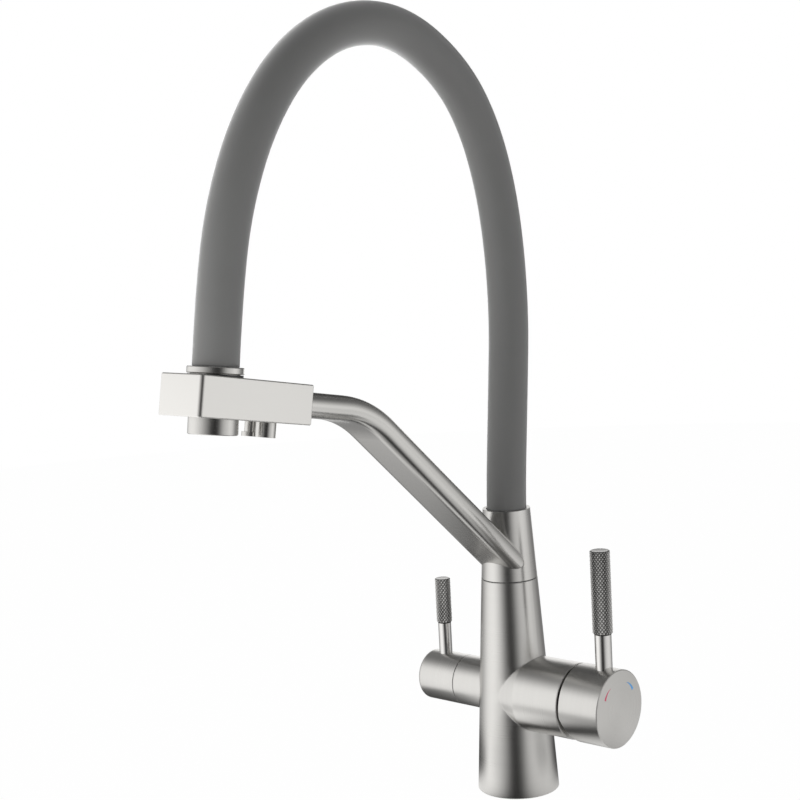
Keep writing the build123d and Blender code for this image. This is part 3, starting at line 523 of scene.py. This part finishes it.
def turning(finish, centre, axis):
    """Where a point lies on a turned piece, and the way across the brush marks there.

    The marks are circles about the axis, so the place across them is the distance along the axis
    plus the distance from it. The way across is the axis itself on the side, and straight out
    from the axis on an end face. A face is an end face where the normal's share along the axis
    passes 0.7 to 0.8."""
    place = finish.vector("SUBTRACT", finish.place(), centre)
    along = finish.vector("DOT_PRODUCT", place, axis)
    foot = finish.vector("SCALE", axis, scale=along)
    out = finish.vector("SUBTRACT", place, foot)
    across = finish.math("ADD", along, finish.vector("LENGTH", out))
    facing = finish.math("ABSOLUTE", finish.vector("DOT_PRODUCT", finish.normal(), axis))
    end_face = finish.passed(facing, 0.7, 0.8)
    unit_out = finish.vector("NORMALIZE", out)
    way = finish.node("ShaderNodeMix", {0: end_face, 4: tuple(axis), 5: unit_out}, data_type="VECTOR")
    return place, across, way.outputs[1]


def marks(finish, place, across, per_metre, slow_scale):
    """Noise that changes per_metre times a metre across the marks, and only slow_scale times along them."""
    times = finish.math("MULTIPLY", across, per_metre)
    stretched = finish.node("ShaderNodeCombineXYZ", {"X": times}).outputs[0]
    return finish.noise(finish.vector("ADD", stretched, finish.mapped(place, (slow_scale,) * 3)), 1.0, 2.0)


def brushed(finish, place, across, way, roughness, bevel):
    """Brushed metal: fine marks and broad bands along the turning, as bump, gloss and tint.

    The fine marks stand under a third of a millimetre apart and the bands about three millimetres.
    Slow blotches vary the gloss a little."""
    fine = marks(finish, place, across, LATHE_MARKS, 26.0)
    bands = marks(finish, place, across, LATHE_BANDS, 9.0)
    blotches = finish.noise(place, 30.0, 3.0)
    gloss = finish.math("ADD", finish.math("MULTIPLY", fine, 0.06), finish.math("MULTIPLY", blotches, 0.05))
    finish.use("Roughness", finish.math("ADD", gloss, roughness - 0.055))
    tint = finish.math("ADD", finish.math("MULTIPLY", bands, 0.6), finish.math("MULTIPLY", fine, 0.4))
    finish.use("Base Color", finish.tint(tint, 0.96, 1.04))
    finish.bump(fine, LATHE_STRENGTH, MARK_HEIGHT, bevel)
    finish.shader.inputs["Anisotropic"].default_value = 0.45
    finish.use("Tangent", way)


def turned_steel(name, colour, centre, axis, roughness=BODY_ROUGHNESS):
    """Stainless steel brushed on the lathe about one axis."""
    finish = Finish(name, colour, roughness, metal=1.0)
    place, across, way = turning(finish, centre, axis)
    brushed(finish, place, across, way, roughness, EDGE_BEVEL)
    return finish.material


def body_steel(colours):
    """The column's steel: brushed round the column, and round the barrels where they stand out.

    A point belongs to the column where its normal, laid flat, points straight out from the
    column's axis, as their dot product shows: under 0.965 it is a barrel's, over 0.99 the column's."""
    finish = Finish("brushed_steel_body", colours.steel, BODY_ROUGHNESS, metal=1.0)
    column_place, column_across, column_way = turning(finish, (0.0, 0.0, 0.0), UP)
    _, barrel_across, barrel_way = turning(finish, (0.0, 0.0, BARREL_HEIGHT), (1.0, 0.0, 0.0))
    flat = finish.vector("NORMALIZE", finish.vector("MULTIPLY", finish.place(), (1.0, 1.0, 0.0)))
    agree = finish.vector("DOT_PRODUCT", flat, finish.normal())
    column = finish.passed(agree, 0.965, 0.99)
    across = finish.node("ShaderNodeMix", {0: column, 2: barrel_across, 3: column_across}, data_type="FLOAT")
    way = finish.node("ShaderNodeMix", {0: column, 4: barrel_way, 5: column_way}, data_type="VECTOR")
    brushed(finish, column_place, across.outputs[0], way.outputs[1], BODY_ROUGHNESS, CASTING_BEVEL)
    return finish.material


def lined_steel(name, colour, direction, roughness, strength, tint, painted_underside_shade=1.0):
    """Flat-brushed stainless steel, with its marks along one direction.

    The place across the marks is the sum of the sideways coordinate and 0.83 of the one square to
    it and to the direction. Painted shade: the colour is scaled down where the normal's share along
    that second coordinate, which runs down, passes 0.5 to 0.8, to the given share of itself on faces
    turned down."""
    finish = Finish(name, colour, roughness, metal=1.0)
    heading = Vector(direction).normalized()
    side = Vector((1.0, 0.0, 0.0))
    other = heading.cross(side)
    place = finish.place()
    across = finish.vector("DOT_PRODUCT", place, tuple(side + other * 0.83))
    fine = marks(finish, place, across, FLAT_MARKS, 22.0)
    blotches = finish.noise(place, 24.0, 3.0)
    gloss = finish.math("ADD", finish.math("MULTIPLY", fine, 0.05), finish.math("MULTIPLY", blotches, 0.03))
    finish.use("Roughness", finish.math("ADD", gloss, roughness - 0.04))
    mixed = finish.math("ADD", finish.math("MULTIPLY", fine, 0.5), finish.math("MULTIPLY", blotches, 0.5))
    # Painted shade on faces turned down: the colour is scaled by a share below one there
    down = finish.vector("DOT_PRODUCT", finish.normal(), tuple(other))
    painted_down_shade = finish.spread(finish.passed(down, 0.5, 0.8), 1.0, painted_underside_shade)
    tinted = finish.tint(mixed, 1.0 - tint, 1.0 + tint)
    finish.use("Base Color", finish.vector("SCALE", tinted, scale=painted_down_shade))
    finish.bump(fine, strength, MARK_HEIGHT, BLOCK_BEVEL)
    return finish.material


def polished_steel(colours):
    """Smooth bar steel with faint drawing lines along Z."""
    finish = Finish("polished_steel", colours.polished, 0.13, metal=1.0)
    lines = finish.noise(finish.mapped(finish.place(), (DRAWN_LINES, DRAWN_LINES, 20.0)), 1.0, 2.0)
    finish.use("Roughness", finish.spread(lines, 0.10, 0.18))
    finish.use("Base Color", finish.tint(lines, 0.97, 1.03))
    finish.bump(lines, 0.05, 0.05 * MM, SMALL_BEVEL)
    return finish.material


def knurled_steel(colours):
    """The grips' steel: bright on the diamonds' points, dull and darker in the grooves; the brightness is a
    painted highlight and the darkness painted shade, while the gloss follows the wear on the points.

    The attribute height runs from 0 in a groove to 1 on a point."""
    finish = Finish("knurled_steel", colours.knurled, 0.32, metal=1.0)
    height = finish.node("ShaderNodeAttribute", attribute_name="height").outputs["Fac"]
    grain = finish.noise(finish.place(), 2500.0, 2.0)
    # Painted shade in the grooves and a painted highlight on the points: the colour runs from 0.05 to 1.42
    # of the steel's, with a little grain
    painted_shade_and_wear = finish.math("ADD", finish.math("MULTIPLY", height, 0.8), finish.math("MULTIPLY", grain, 0.2))
    finish.use("Base Color", finish.tint(painted_shade_and_wear, 0.05, 1.42))
    finish.use("Roughness", finish.spread(painted_shade_and_wear, 0.46, 0.22))
    finish.bump(grain, 0.10, 0.04 * MM)
    return finish.material


def machined(name, colour, roughness):
    """Machined metal with fine tool lines and slight stains."""
    finish = Finish(name, colour, roughness, metal=1.0)
    lines = finish.noise(finish.mapped(finish.place(), (60.0, 60.0, TOOL_LINES)), 1.0, 2.0)
    stains = finish.noise(finish.place(), 70.0, 4.0, 0.6)
    mixed = finish.math("ADD", finish.math("MULTIPLY", lines, 0.5), finish.math("MULTIPLY", stains, 0.5))
    finish.use("Base Color", finish.tint(mixed, 0.86, 1.12))
    finish.use("Roughness", finish.spread(mixed, roughness - 0.08, roughness + 0.12))
    finish.bump(lines, 0.12, 0.08 * MM, SMALL_BEVEL)
    return finish.material


def moulded(name, colour, roughness, strength=0.10, variation=0.08):
    """Moulded plastic, rubber or ceramic: fine grain, slow mottling and soft edges."""
    finish = Finish(name, colour, roughness)
    fine = finish.noise(finish.place(), MOULD_GRAIN, 3.0, 0.6)
    slow = finish.noise(finish.place(), 45.0, 3.0)
    mixed = finish.math("ADD", finish.math("MULTIPLY", fine, 0.4), finish.math("MULTIPLY", slow, 0.6))
    finish.use("Base Color", finish.tint(mixed, 1.0 - variation, 1.0 + variation))
    finish.use("Roughness", finish.spread(fine, roughness - 0.07, roughness + 0.07))
    finish.bump(fine, strength, MARK_HEIGHT, SMALL_BEVEL)
    return finish.material


def hose_silicone(colours):
    """Matt silicone: a soft skin with fine lengthwise drag marks, dust and a dull sheen."""
    finish = Finish("grey_silicone", colours.hose, 0.56)
    along = finish.node("ShaderNodeUVMap", uv_map="along").outputs["UV"]
    drag = finish.noise(finish.mapped(along, (2600.0, 120.0, 1.0)), 1.0, 3.0)
    skin = finish.noise(finish.place(), 1400.0, 3.0, 0.6)
    dust = finish.noise(finish.place(), 38.0, 4.0, 0.6)
    mixed = finish.math("ADD", finish.math("MULTIPLY", skin, 0.35), finish.math("MULTIPLY", dust, 0.65))
    finish.use("Base Color", finish.tint(mixed, 0.90, 1.12))
    finish.use("Roughness", finish.spread(mixed, 0.50, 0.64))
    both = finish.math("ADD", finish.math("MULTIPLY", drag, 0.5), finish.math("MULTIPLY", skin, 0.5))
    finish.bump(both, 0.12, 0.12 * MM)
    finish.shader.inputs["Sheen Weight"].default_value = 1.0
    finish.shader.inputs["Sheen Roughness"].default_value = 0.44
    finish.shader.inputs["Sheen Tint"].default_value = (0.9, 0.9, 0.9, 1.0)
    finish.shader.inputs["Specular IOR Level"].default_value = 0.42
    return finish.material


def hose_braid(colour):
    """Woven braid on the water hose: two families of threads that cross at a slant."""
    finish = Finish("braided_hose", colour, 0.5)
    along = finish.node("ShaderNodeUVMap", uv_map="along").outputs["UV"]
    parts = finish.node("ShaderNodeSeparateXYZ", {"Vector": along})
    families = []
    for sign in (1.0, -1.0):
        lean = finish.math("MULTIPLY", parts.outputs["Y"], sign * BRAID_LEAN)
        place = finish.math("ADD", parts.outputs["X"], lean)
        turn = finish.math("MULTIPLY", place, 2.0 * math.pi / BRAID_SPACING)
        families.append(finish.math("SINE", turn))
    weave = finish.math("MAXIMUM", *families)
    height = finish.spread(weave, 0.4, 1.0)
    finish.use("Base Color", finish.tint(height, 0.55, 1.1))
    finish.use("Roughness", finish.spread(height, 0.62, 0.42))
    finish.bump(height, 0.5, 0.3 * MM)
    return finish.material


def enamel(name, colour):
    """Baked enamel in a shallow recess: smooth, with faint orange peel under a thin clear coat."""
    finish = Finish(name, colour, 0.3)
    peel = finish.noise(finish.place(), MOULD_GRAIN, 2.0)
    finish.use("Base Color", finish.tint(peel, 0.88, 1.12))
    finish.use("Roughness", finish.spread(peel, 0.26, 0.36))
    finish.bump(peel, 0.08, 0.05 * MM)
    finish.shader.inputs["Coat Weight"].default_value = 0.25
    return finish.material


# Pieces


def dress(material, *nodes):
    """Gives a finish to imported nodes, in every material slot that they have."""
    for name in nodes:
        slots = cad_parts[name].material_slots
        if not slots:
            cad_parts[name].data.materials.append(material)
        for slot in slots:
            slot.material = material


def outlet_point(x):
    """Where the axis of a small outlet, x to the side, meets the holder block's middle plane."""
    return tuple(BLOCK_MIDDLE + Vector((x, 0.0, 0.0)) + BLOCK_INWARDS * OUTLET_INWARDS)


class TAP_OT_silicone_hose(Operator):
    """Makes the grey silicone hose that goes over from the sleeve to the head"""

    bl_idname = "tap.silicone_hose"
    bl_label = "Silicone hose"

    def execute(self, context):
        sizes = context.scene.tap_hose
        line, length = even_line(route_line(hose_corners(HOSE_SEAT, COLLAR_TOP), "hose_route"), sizes.rings)
        points = hose_surface(line, sizes.radius, sizes.bore_radius, sizes.end_round, sizes.sides)
        mesh = grid_mesh("silicone_hose", points, closed_along=True)
        along_across_map(mesh, len(points), sizes.sides, length, 2.0 * math.pi * sizes.radius)
        hose = add_piece("silicone_hose", mesh, hose_silicone(context.scene.tap_colours))
        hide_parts("hose_sleeve")
        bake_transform(hose)
        return {"FINISHED"}


class TAP_OT_water_hose(Operator):
    """Makes the braided water hose inside the silicone one"""

    bl_idname = "tap.water_hose"
    bl_label = "Water hose"

    def execute(self, context):
        sizes = context.scene.tap_hose
        sides = sizes.sides // 2
        corners = hose_corners(WATER_HOSE_SEAT, NIPPLE_TOP)
        line, length = even_line(route_line(corners, "water_hose_route"), sizes.rings)
        points = hose_surface(line, sizes.water_radius, sizes.water_bore_radius, sizes.end_round, sides)
        mesh = grid_mesh("water_hose", points, closed_along=True)
        along_across_map(mesh, len(points), sides, length, 2.0 * math.pi * sizes.water_radius)
        hose = add_piece("water_hose", mesh, hose_braid(BRAID_COLOUR))
        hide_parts("inner_hose")
        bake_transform(hose)
        return {"FINISHED"}


class TAP_OT_grips(Operator):
    """Makes the diamond-knurled grips of both levers"""

    bl_idname = "tap.grips"
    bl_label = "Knurled grips"

    def execute(self, context):
        sizes = context.scene.tap_knurl
        finish = knurled_steel(context.scene.tap_colours)
        for node, body, middle, core in (
            ("mixer_grip", "mixer_handle", MIXER_LEVER, MIXER_GRIP_BORE),
            ("filter_grip", "filter_handle", FILTER_LEVER, FILTER_GRIP_BORE),
        ):
            low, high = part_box(node)
            radius = (high.x - low.x) / 2
            points = grip_surface(radius, low.z, high.z, core, sizes)
            root = radius - sizes.depth
            height = np.clip((np.linalg.norm(points[..., :2], axis=-1) - root) / sizes.depth, 0.0, 1.0)
            # The top's value sets its painted shade as well as its gloss
            height[-TOP_ROWS:] = TOP_SHADE_AND_GLOSS
            points = points + np.array([middle.x, middle.y, 0.0])
            mesh = grid_mesh(f"{node}_knurled", points, caps=True)
            layer = mesh.attributes.new("height", "FLOAT", "POINT")
            layer.data.foreach_set("value", height.reshape(-1).astype(np.float32))
            grip = add_piece(f"{node}_knurled", mesh, finish, smooth=False)
            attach(grip, body)
            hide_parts(node)
        return {"FINISHED"}


class TAP_OT_steel(Operator):
    """Gives the steel pieces their brushed and polished finishes"""

    bl_idname = "tap.steel"
    bl_label = "Steel finishes"

    def execute(self, context):
        colours = context.scene.tap_colours
        steel = colours.steel
        dress(body_steel(colours), "body_casting")
        barrel_axis = ((0.0, 0.0, BARREL_HEIGHT), (1.0, 0.0, 0.0))
        dress(turned_steel("brushed_steel_sleeve", steel, (0.0, 0.0, 0.0), UP), "spout_sleeve")
        dress(turned_steel("brushed_steel_caps", steel, *barrel_axis), "mixer_cap", "filter_cap")
        head_axis = (tuple(BLOCK_MIDDLE), tuple(HEAD_AXIS))
        dress(turned_steel("brushed_steel_head", steel, *head_axis, roughness=0.22),
              "nozzle_body", "hose_collar", "aerator_housing")
        outlet_axis = (outlet_point(OUTLET_SIDE), tuple(BLOCK_AXIS))
        fitting_axis = (outlet_point(FITTING_SIDE), tuple(BLOCK_AXIS))
        dress(turned_steel("brushed_steel_outlet", steel, *outlet_axis, roughness=0.2), "filter_outlet")
        dress(turned_steel("brushed_steel_fitting", steel, *fitting_axis), "side_outlet")
        # Painted light: the block gets a lighter copy of the same steel
        painted_light_steel = tuple(min(1.0, value * BLOCK_PAINTED_LIGHT) for value in steel)
        dress(lined_steel("brushed_steel_block", painted_light_steel, BLOCK_INWARDS, 0.30, 0.05, 0.03),
              "holder_block")
        # The arm's faces turned down are painted darker, to 0.76 of the colour, as shade
        dress(lined_steel("brushed_steel_arm", steel, ARM_HEADING, 0.22, 0.012, 0.015, painted_underside_shade=0.76),
              "support_arm")
        dress(polished_steel(colours), "mixer_lever_rod", "filter_lever_rod")
        dress(machined("plain_steel", (0.55, 0.55, 0.55), 0.34),
              "pivot_pin", "mixer_spindle", "mixer_grub_screw", "filter_grub_screw", "retaining_screw")
        dress(machined("brass", (0.70, 0.54, 0.27), 0.30),
              "inlet_insert", "cartridge_nut", "filter_valve_body", "filter_spindle", "swivel_spigot",
              "hose_nut", "hose_nipple")
        return {"FINISHED"}


class TAP_OT_plastics(Operator):
    """Gives the rubber, plastic, ceramic and enamel pieces their finishes"""

    bl_idname = "tap.plastics"
    bl_label = "Rubber, plastic and enamel finishes"

    def execute(self, context):
        colours = context.scene.tap_colours
        dress(moulded("black_rubber", (0.028, 0.028, 0.028), 0.62),
              "base_gasket", "cartridge_port_seals", "filter_valve_seal", "filter_spindle_seal",
              "spigot_seals", "nozzle_washer")
        dress(moulded("black_plastic", (0.022, 0.022, 0.023), 0.48),
              "dust_ring", "swivel_ring", "holder_bush", "hose_seat")
        dress(moulded("white_plastic", (0.78, 0.78, 0.75), 0.42, variation=0.04),
              "cartridge_base", "cartridge_shell", "cartridge_carrier", "filter_tube", "outlet_insert",
              "aerator_core", "check_valve")
        dress(moulded("ceramic", (0.86, 0.85, 0.81), 0.20, strength=0.03, variation=0.03),
              "fixed_ceramic_disc", "moving_ceramic_disc", "fixed_valve_disc", "moving_valve_disc")
        dress(enamel("red_enamel", colours.hot), "hot_mark")
        dress(enamel("blue_enamel", colours.cold), "cold_mark")
        return {"FINISHED"}


# Studio


def smooth_step(value, low, high):
    """0 below low, 1 above high, and t * t * (3 - 2 t) between them."""
    t = np.clip((value - low) / (high - low), 0.0, 1.0)
    return t * t * (3.0 - 2.0 * t)


# Brightness of the studio's wall and floor, by the turn in degrees from the camera's side, anticlockwise
CAMERA_SIDE = -51.1
STUDIO_TURNS = (
    -180, -160, -140, -125, -112, -98, -84, -72, -62, -50, -40, -32, -24, -16, -6, 4, 12, 24, 36, 50, 64, 76,
    86, 96, 112, 135, 155, 180,
)
STUDIO_LEVELS = (
    0.30, 0.32, 0.36, 0.54, 0.82, 1.10, 1.22, 1.25, 1.20, 0.98, 0.72, 0.48, 0.26, 0.08, 0.03, 0.06, 0.20,
    0.52, 0.72, 0.84, 0.90, 0.88, 0.78, 0.68, 0.44, 0.24, 0.24, 0.30,
)
CEILING_LEVEL = 0.15
BACK_LEVEL = 1.3
HIGH_BACK_LEVEL = 0.07

# Where the wall fades: the height that its rise is seen from, the degrees up at which the wall and the
# part behind the tap fade, and the degrees of turn over which that part begins
FADE_POINT = 0.1
WALL_FADE = (18.0, 58.0)
BACK_FADE = (17.0, 31.0)
BACK_TURN = (150.0, 172.0)

# A brighter panel on the wall: middle and size in degrees of turn and rise, its edge's shares, its gain
PANEL_MIDDLE = (86.0, 10.0)
PANEL_SIZE = (22.0, 9.0)
PANEL_EDGE = (0.7, 1.6)
PANEL_GAIN = 0.2

# Darker ovals on the floor: middle, size, the shares of the size where each starts and ends, and its level
FLOOR_SHADES = (
    ((0.0, 0.0), (0.042, 0.042), 0.6, 1.6, 0.85),
    ((-0.095, 0.0), (0.034, 0.045), 0.8, 1.9, 0.2),
    ((-0.03, -0.135), (0.045, 0.05), 0.7, 1.6, 0.65),
    ((0.20, -0.13), (0.06, 0.03), 0.6, 1.6, 0.2),
    ((0.13, 0.04), (0.045, 0.04), 0.6, 1.6, 0.3),
    ((-0.02, 0.09), (0.06, 0.055), 0.6, 1.6, 0.25),
)

# The light shell's grid: it starts at a share's square of its radius, a little above the floor
SHELL_START_SHARE = 0.12
SHELL_FLOOR_ROWS = 110
SHELL_DOME_ROWS = 90
SHELL_COLUMNS = 360
SHELL_RISE = (1.0, 89.5)
SHELL_HEIGHT_SHARE = 1.4
SHELL_LIFT = 0.5 * MM

# The floor's grid, and the radius of the hole at its middle as a share
FLOOR_ROWS = 8
FLOOR_COLUMNS = 96
FLOOR_START_SHARE = 0.0005

# Soft lamps: name, place, what each is turned to, size, and share of the lamp power
LAMPS = (
    ("left_lamp", (-1.3, -1.3, 0.35), (0.0, -0.1, 0.25), 1.2, 1.0),
    ("right_lamp", (1.7, 0.5, 0.35), (0.0, -0.1, 0.25), 1.2, 0.7),
    ("low_lamp", (0.2, -0.8, 0.03), (0.0, -0.1, 0.42), 0.9, 0.5),
)

# The camera: its place in metres, its view's direction and the picture's direction to the right
CAMERA_PLACE = (0.63401, -0.78607, 0.36386)
CAMERA_FORWARD = (-0.66903, 0.73384, -0.11781)
CAMERA_RIGHT = (0.74214, 0.66822, -0.05213)
PICTURE_WIDTH = 36.0


def smooth_oval(x, y, middle, size, low, high):
    """0 inside an oval and 1 outside it, by a smooth step of the distance from its middle over its size."""
    away = np.sqrt(((x - middle[0]) / size[0]) ** 2 + ((y - middle[1]) / size[1]) ** 2)
    return smooth_step(away, low, high)


def studio_level(points):
    """Brightness of the soft boxes and dark cards round the tap, at points of the light shell.

    Floor and wall follow one table of levels by turn, and the wall fades upwards to the ceiling's
    level. The part behind the tap is bright low down and fades upwards to a dark level of its own.
    An oval panel on the wall is brighter by its gain. The floor is darker in ovals at the foot,
    beyond both barrels, on both sides of the arm, and behind the column."""
    x, y, z = points[..., 0], points[..., 1], points[..., 2]
    reach = np.hypot(x, y)
    turn = (np.degrees(np.arctan2(y, x)) - CAMERA_SIDE + 180.0) % 360.0 - 180.0
    level = np.interp(turn, STUDIO_TURNS, STUDIO_LEVELS)
    rise = np.degrees(np.arctan2(z - FADE_POINT, reach))
    wall = level + (CEILING_LEVEL - level) * smooth_step(rise, *WALL_FADE)
    back = HIGH_BACK_LEVEL + (BACK_LEVEL - HIGH_BACK_LEVEL) * (1.0 - smooth_step(rise, *BACK_FADE))
    wall = wall + (back - wall) * smooth_step(np.abs(turn), *BACK_TURN)
    outside_panel = smooth_oval(turn, rise, PANEL_MIDDLE, PANEL_SIZE, *PANEL_EDGE)
    wall = wall * (1.0 + PANEL_GAIN * (1.0 - outside_panel))
    for middle, size, low, high, least in FLOOR_SHADES:
        level = level * (least + (1.0 - least) * smooth_oval(x, y, middle, size, low, high))
    return np.where(z < 2.0 * SHELL_LIFT, level, wall)


def shell_surface(radius):
    """Light shell: out along the floor, then up a dome towards its pole.

    The rows' reach on the floor is radius times the square of an evenly spaced share. On the dome
    a row at rise t has reach radius cos t and height 1.4 radius sin t."""
    out = (np.linspace(SHELL_START_SHARE, 1.0, SHELL_FLOOR_ROWS) ** 2) * radius
    rise = np.radians(np.linspace(*SHELL_RISE, SHELL_DOME_ROWS))
    reach = np.concatenate([out, radius * np.cos(rise)])[:, None]
    dome = SHELL_HEIGHT_SHARE * radius * np.sin(rise)
    height = np.concatenate([np.full(len(out), SHELL_LIFT), dome])[:, None]
    turn = np.linspace(0.0, 2.0 * np.pi, SHELL_COLUMNS, endpoint=False)[None, :]
    return np.stack([reach * np.cos(turn), reach * np.sin(turn), height + 0.0 * turn], axis=-1)


def glow_material():
    """Emission whose strength is the shell's attribute glow."""
    material = bpy.data.materials.new("studio_glow")
    material.use_nodes = True
    nodes, links = material.node_tree.nodes, material.node_tree.links
    nodes.clear()
    glow = nodes.new("ShaderNodeAttribute")
    glow.attribute_name = "glow"
    light = nodes.new("ShaderNodeEmission")
    light.inputs["Color"].default_value = (1.0, 0.995, 0.985, 1.0)
    output = nodes.new("ShaderNodeOutputMaterial")
    links.new(glow.outputs["Fac"], light.inputs["Strength"])
    links.new(light.outputs["Emission"], output.inputs["Surface"])
    return material


def seen_directly(nodes, links):
    """1 for rays from the camera and for what metal and glass show, and 0 for plain light."""
    path = nodes.new("ShaderNodeLightPath")
    total = path.outputs["Is Camera Ray"]
    for name in ("Is Glossy Ray", "Is Transmission Ray"):
        add = nodes.new("ShaderNodeMath")
        add.operation = "ADD"
        add.use_clamp = True
        links.new(total, add.inputs[0])
        links.new(path.outputs[name], add.inputs[1])
        total = add.outputs[0]
    return total


def floor_material():
    """Pale floor that shows white, with a trace of the tap's soft shadow on it.

    For rays from the camera, metal or glass, plain white of strength 1 is mixed in by a share
    close to one. All other rays see the lit floor."""
    material = bpy.data.materials.new("pale_floor")
    material.use_nodes = True
    nodes, links = material.node_tree.nodes, material.node_tree.links
    shader = nodes["Principled BSDF"]
    shader.inputs["Base Color"].default_value = (0.86, 0.86, 0.86, 1.0)
    shader.inputs["Roughness"].default_value = 0.9
    shader.inputs["Specular IOR Level"].default_value = 0.0
    white = nodes.new("ShaderNodeEmission")
    share = nodes.new("ShaderNodeMath")
    share.operation = "MULTIPLY"
    share.inputs[1].default_value = 0.99
    links.new(seen_directly(nodes, links), share.inputs[0])
    mix = nodes.new("ShaderNodeMixShader")
    links.new(share.outputs[0], mix.inputs["Fac"])
    links.new(shader.outputs["BSDF"], mix.inputs[1])
    links.new(white.outputs["Emission"], mix.inputs[2])
    links.new(mix.outputs["Shader"], nodes["Material Output"].inputs["Surface"])
    return material


def soft_lamp(name, place, target, size, power):
    """A large soft lamp that lights dull surfaces only; metal shows the light shell instead."""
    data = bpy.data.lights.new(name, "AREA")
    data.shape = "DISK"
    data.size = size
    data.energy = power
    lamp = bpy.data.objects.new(name, data)
    lamp.location = place
    lamp.rotation_euler = (Vector(target) - Vector(place)).to_track_quat("-Z", "Y").to_euler()
    lamp.visible_camera = False
    lamp.visible_glossy = False
    bpy.context.scene.collection.objects.link(lamp)


class TAP_OT_studio(Operator):
    """Sets the floor, the soft light, the white surroundings and the camera"""

    bl_idname = "tap.studio"
    bl_label = "Studio"

    def execute(self, context):
        scene, sizes = context.scene, context.scene.tap_studio
        turn = np.linspace(0.0, 2.0 * np.pi, FLOOR_COLUMNS, endpoint=False)[None, :]
        reach = np.linspace(FLOOR_START_SHARE, 1.0, FLOOR_ROWS)[:, None] * sizes.floor_radius
        disc = np.stack([reach * np.cos(turn), reach * np.sin(turn), 0.0 * reach * turn], axis=-1)
        floor = add_piece("floor", grid_mesh("floor", disc), floor_material())

        points = shell_surface(sizes.shell_radius)
        mesh = grid_mesh("light_shell", points)
        glow = mesh.attributes.new("glow", "FLOAT", "POINT")
        glow.data.foreach_set("value", studio_level(points).reshape(-1).astype(np.float32))
        shell = add_piece("light_shell", mesh, glow_material())
        shell.visible_camera = False
        shell.visible_diffuse = False
        shell.visible_shadow = False
        shell.visible_transmission = False
        shell.visible_volume_scatter = False

        world = bpy.data.worlds.new("white_surroundings")
        scene.world = world
        world.use_nodes = True
        nodes, links = world.node_tree.nodes, world.node_tree.links
        even = nodes["Background"]
        even.inputs["Color"].default_value = (1.0, 1.0, 1.0, 1.0)
        even.inputs["Strength"].default_value = sizes.world_level
        white = nodes.new("ShaderNodeBackground")
        white.inputs["Color"].default_value = (1.0, 1.0, 1.0, 1.0)
        mix = nodes.new("ShaderNodeMixShader")
        links.new(seen_directly(nodes, links), mix.inputs["Fac"])
        links.new(even.outputs["Background"], mix.inputs[1])
        links.new(white.outputs["Background"], mix.inputs[2])
        links.new(mix.outputs["Shader"], nodes["World Output"].inputs["Surface"])

        for name, place, target, size, share in LAMPS:
            soft_lamp(name, place, target, size, sizes.lamp_power * share)

        camera = bpy.data.objects.new("camera", bpy.data.cameras.new("camera"))
        scene.collection.objects.link(camera)
        camera.data.sensor_width = PICTURE_WIDTH
        camera.data.lens = sizes.lens
        forward = Vector(CAMERA_FORWARD).normalized()
        right = Vector(CAMERA_RIGHT).normalized()
        turned = Matrix((right, right.cross(forward), -forward)).transposed().to_4x4()
        turned.translation = Vector(CAMERA_PLACE)
        camera.matrix_world = turned
        scene.camera = camera
        scene.view_settings.view_transform = "Standard"
        return {"FINISHED"}


class TAP_PT_panel(Panel):
    """Sizes, colours and steps of the tap"""

    bl_idname = "TAP_PT_panel"
    bl_label = "Kitchen filter tap"
    bl_space_type = "VIEW_3D"
    bl_region_type = "UI"
    bl_category = "Tap"

    def draw(self, context):
        titles = ("Hose", "Knurling", "Colours", "Studio")
        for group, title in zip(GROUPS, titles):
            box = self.layout.box()
            box.label(text=title)
            settings = getattr(context.scene, group)
            for name in type(settings).__annotations__:
                box.prop(settings, name)
        for step in STEPS:
            self.layout.operator(step.bl_idname)


GROUPS = {
    "tap_hose": HoseSizes,
    "tap_knurl": KnurlSizes,
    "tap_colours": FinishColours,
    "tap_studio": StudioSizes,
}
STEPS = (TAP_OT_studio, TAP_OT_silicone_hose, TAP_OT_water_hose, TAP_OT_grips, TAP_OT_steel, TAP_OT_plastics)


def register():
    """Registers the groups of sizes, the operators and the panel."""
    for group in GROUPS.values():
        bpy.utils.register_class(group)
    for name, group in GROUPS.items():
        setattr(bpy.types.Scene, name, PointerProperty(type=group))
    for step in (*STEPS, TAP_PT_panel):
        bpy.utils.register_class(step)


def unregister():
    """Takes the panel, the operators and the groups of sizes away again."""
    for step in reversed((*STEPS, TAP_PT_panel)):
        bpy.utils.unregister_class(step)
    for name in GROUPS:
        delattr(bpy.types.Scene, name)
    for group in reversed(tuple(GROUPS.values())):
        bpy.utils.unregister_class(group)


def main():
    """Makes the tap's pieces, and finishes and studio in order."""
    register()
    bpy.ops.tap.studio()
    bpy.ops.tap.silicone_hose()
    bpy.ops.tap.water_hose()
    bpy.ops.tap.grips()
    bpy.ops.tap.steel()
    bpy.ops.tap.plastics()
    bpy.context.view_layer.update()


if __name__ == "__main__":
    main()
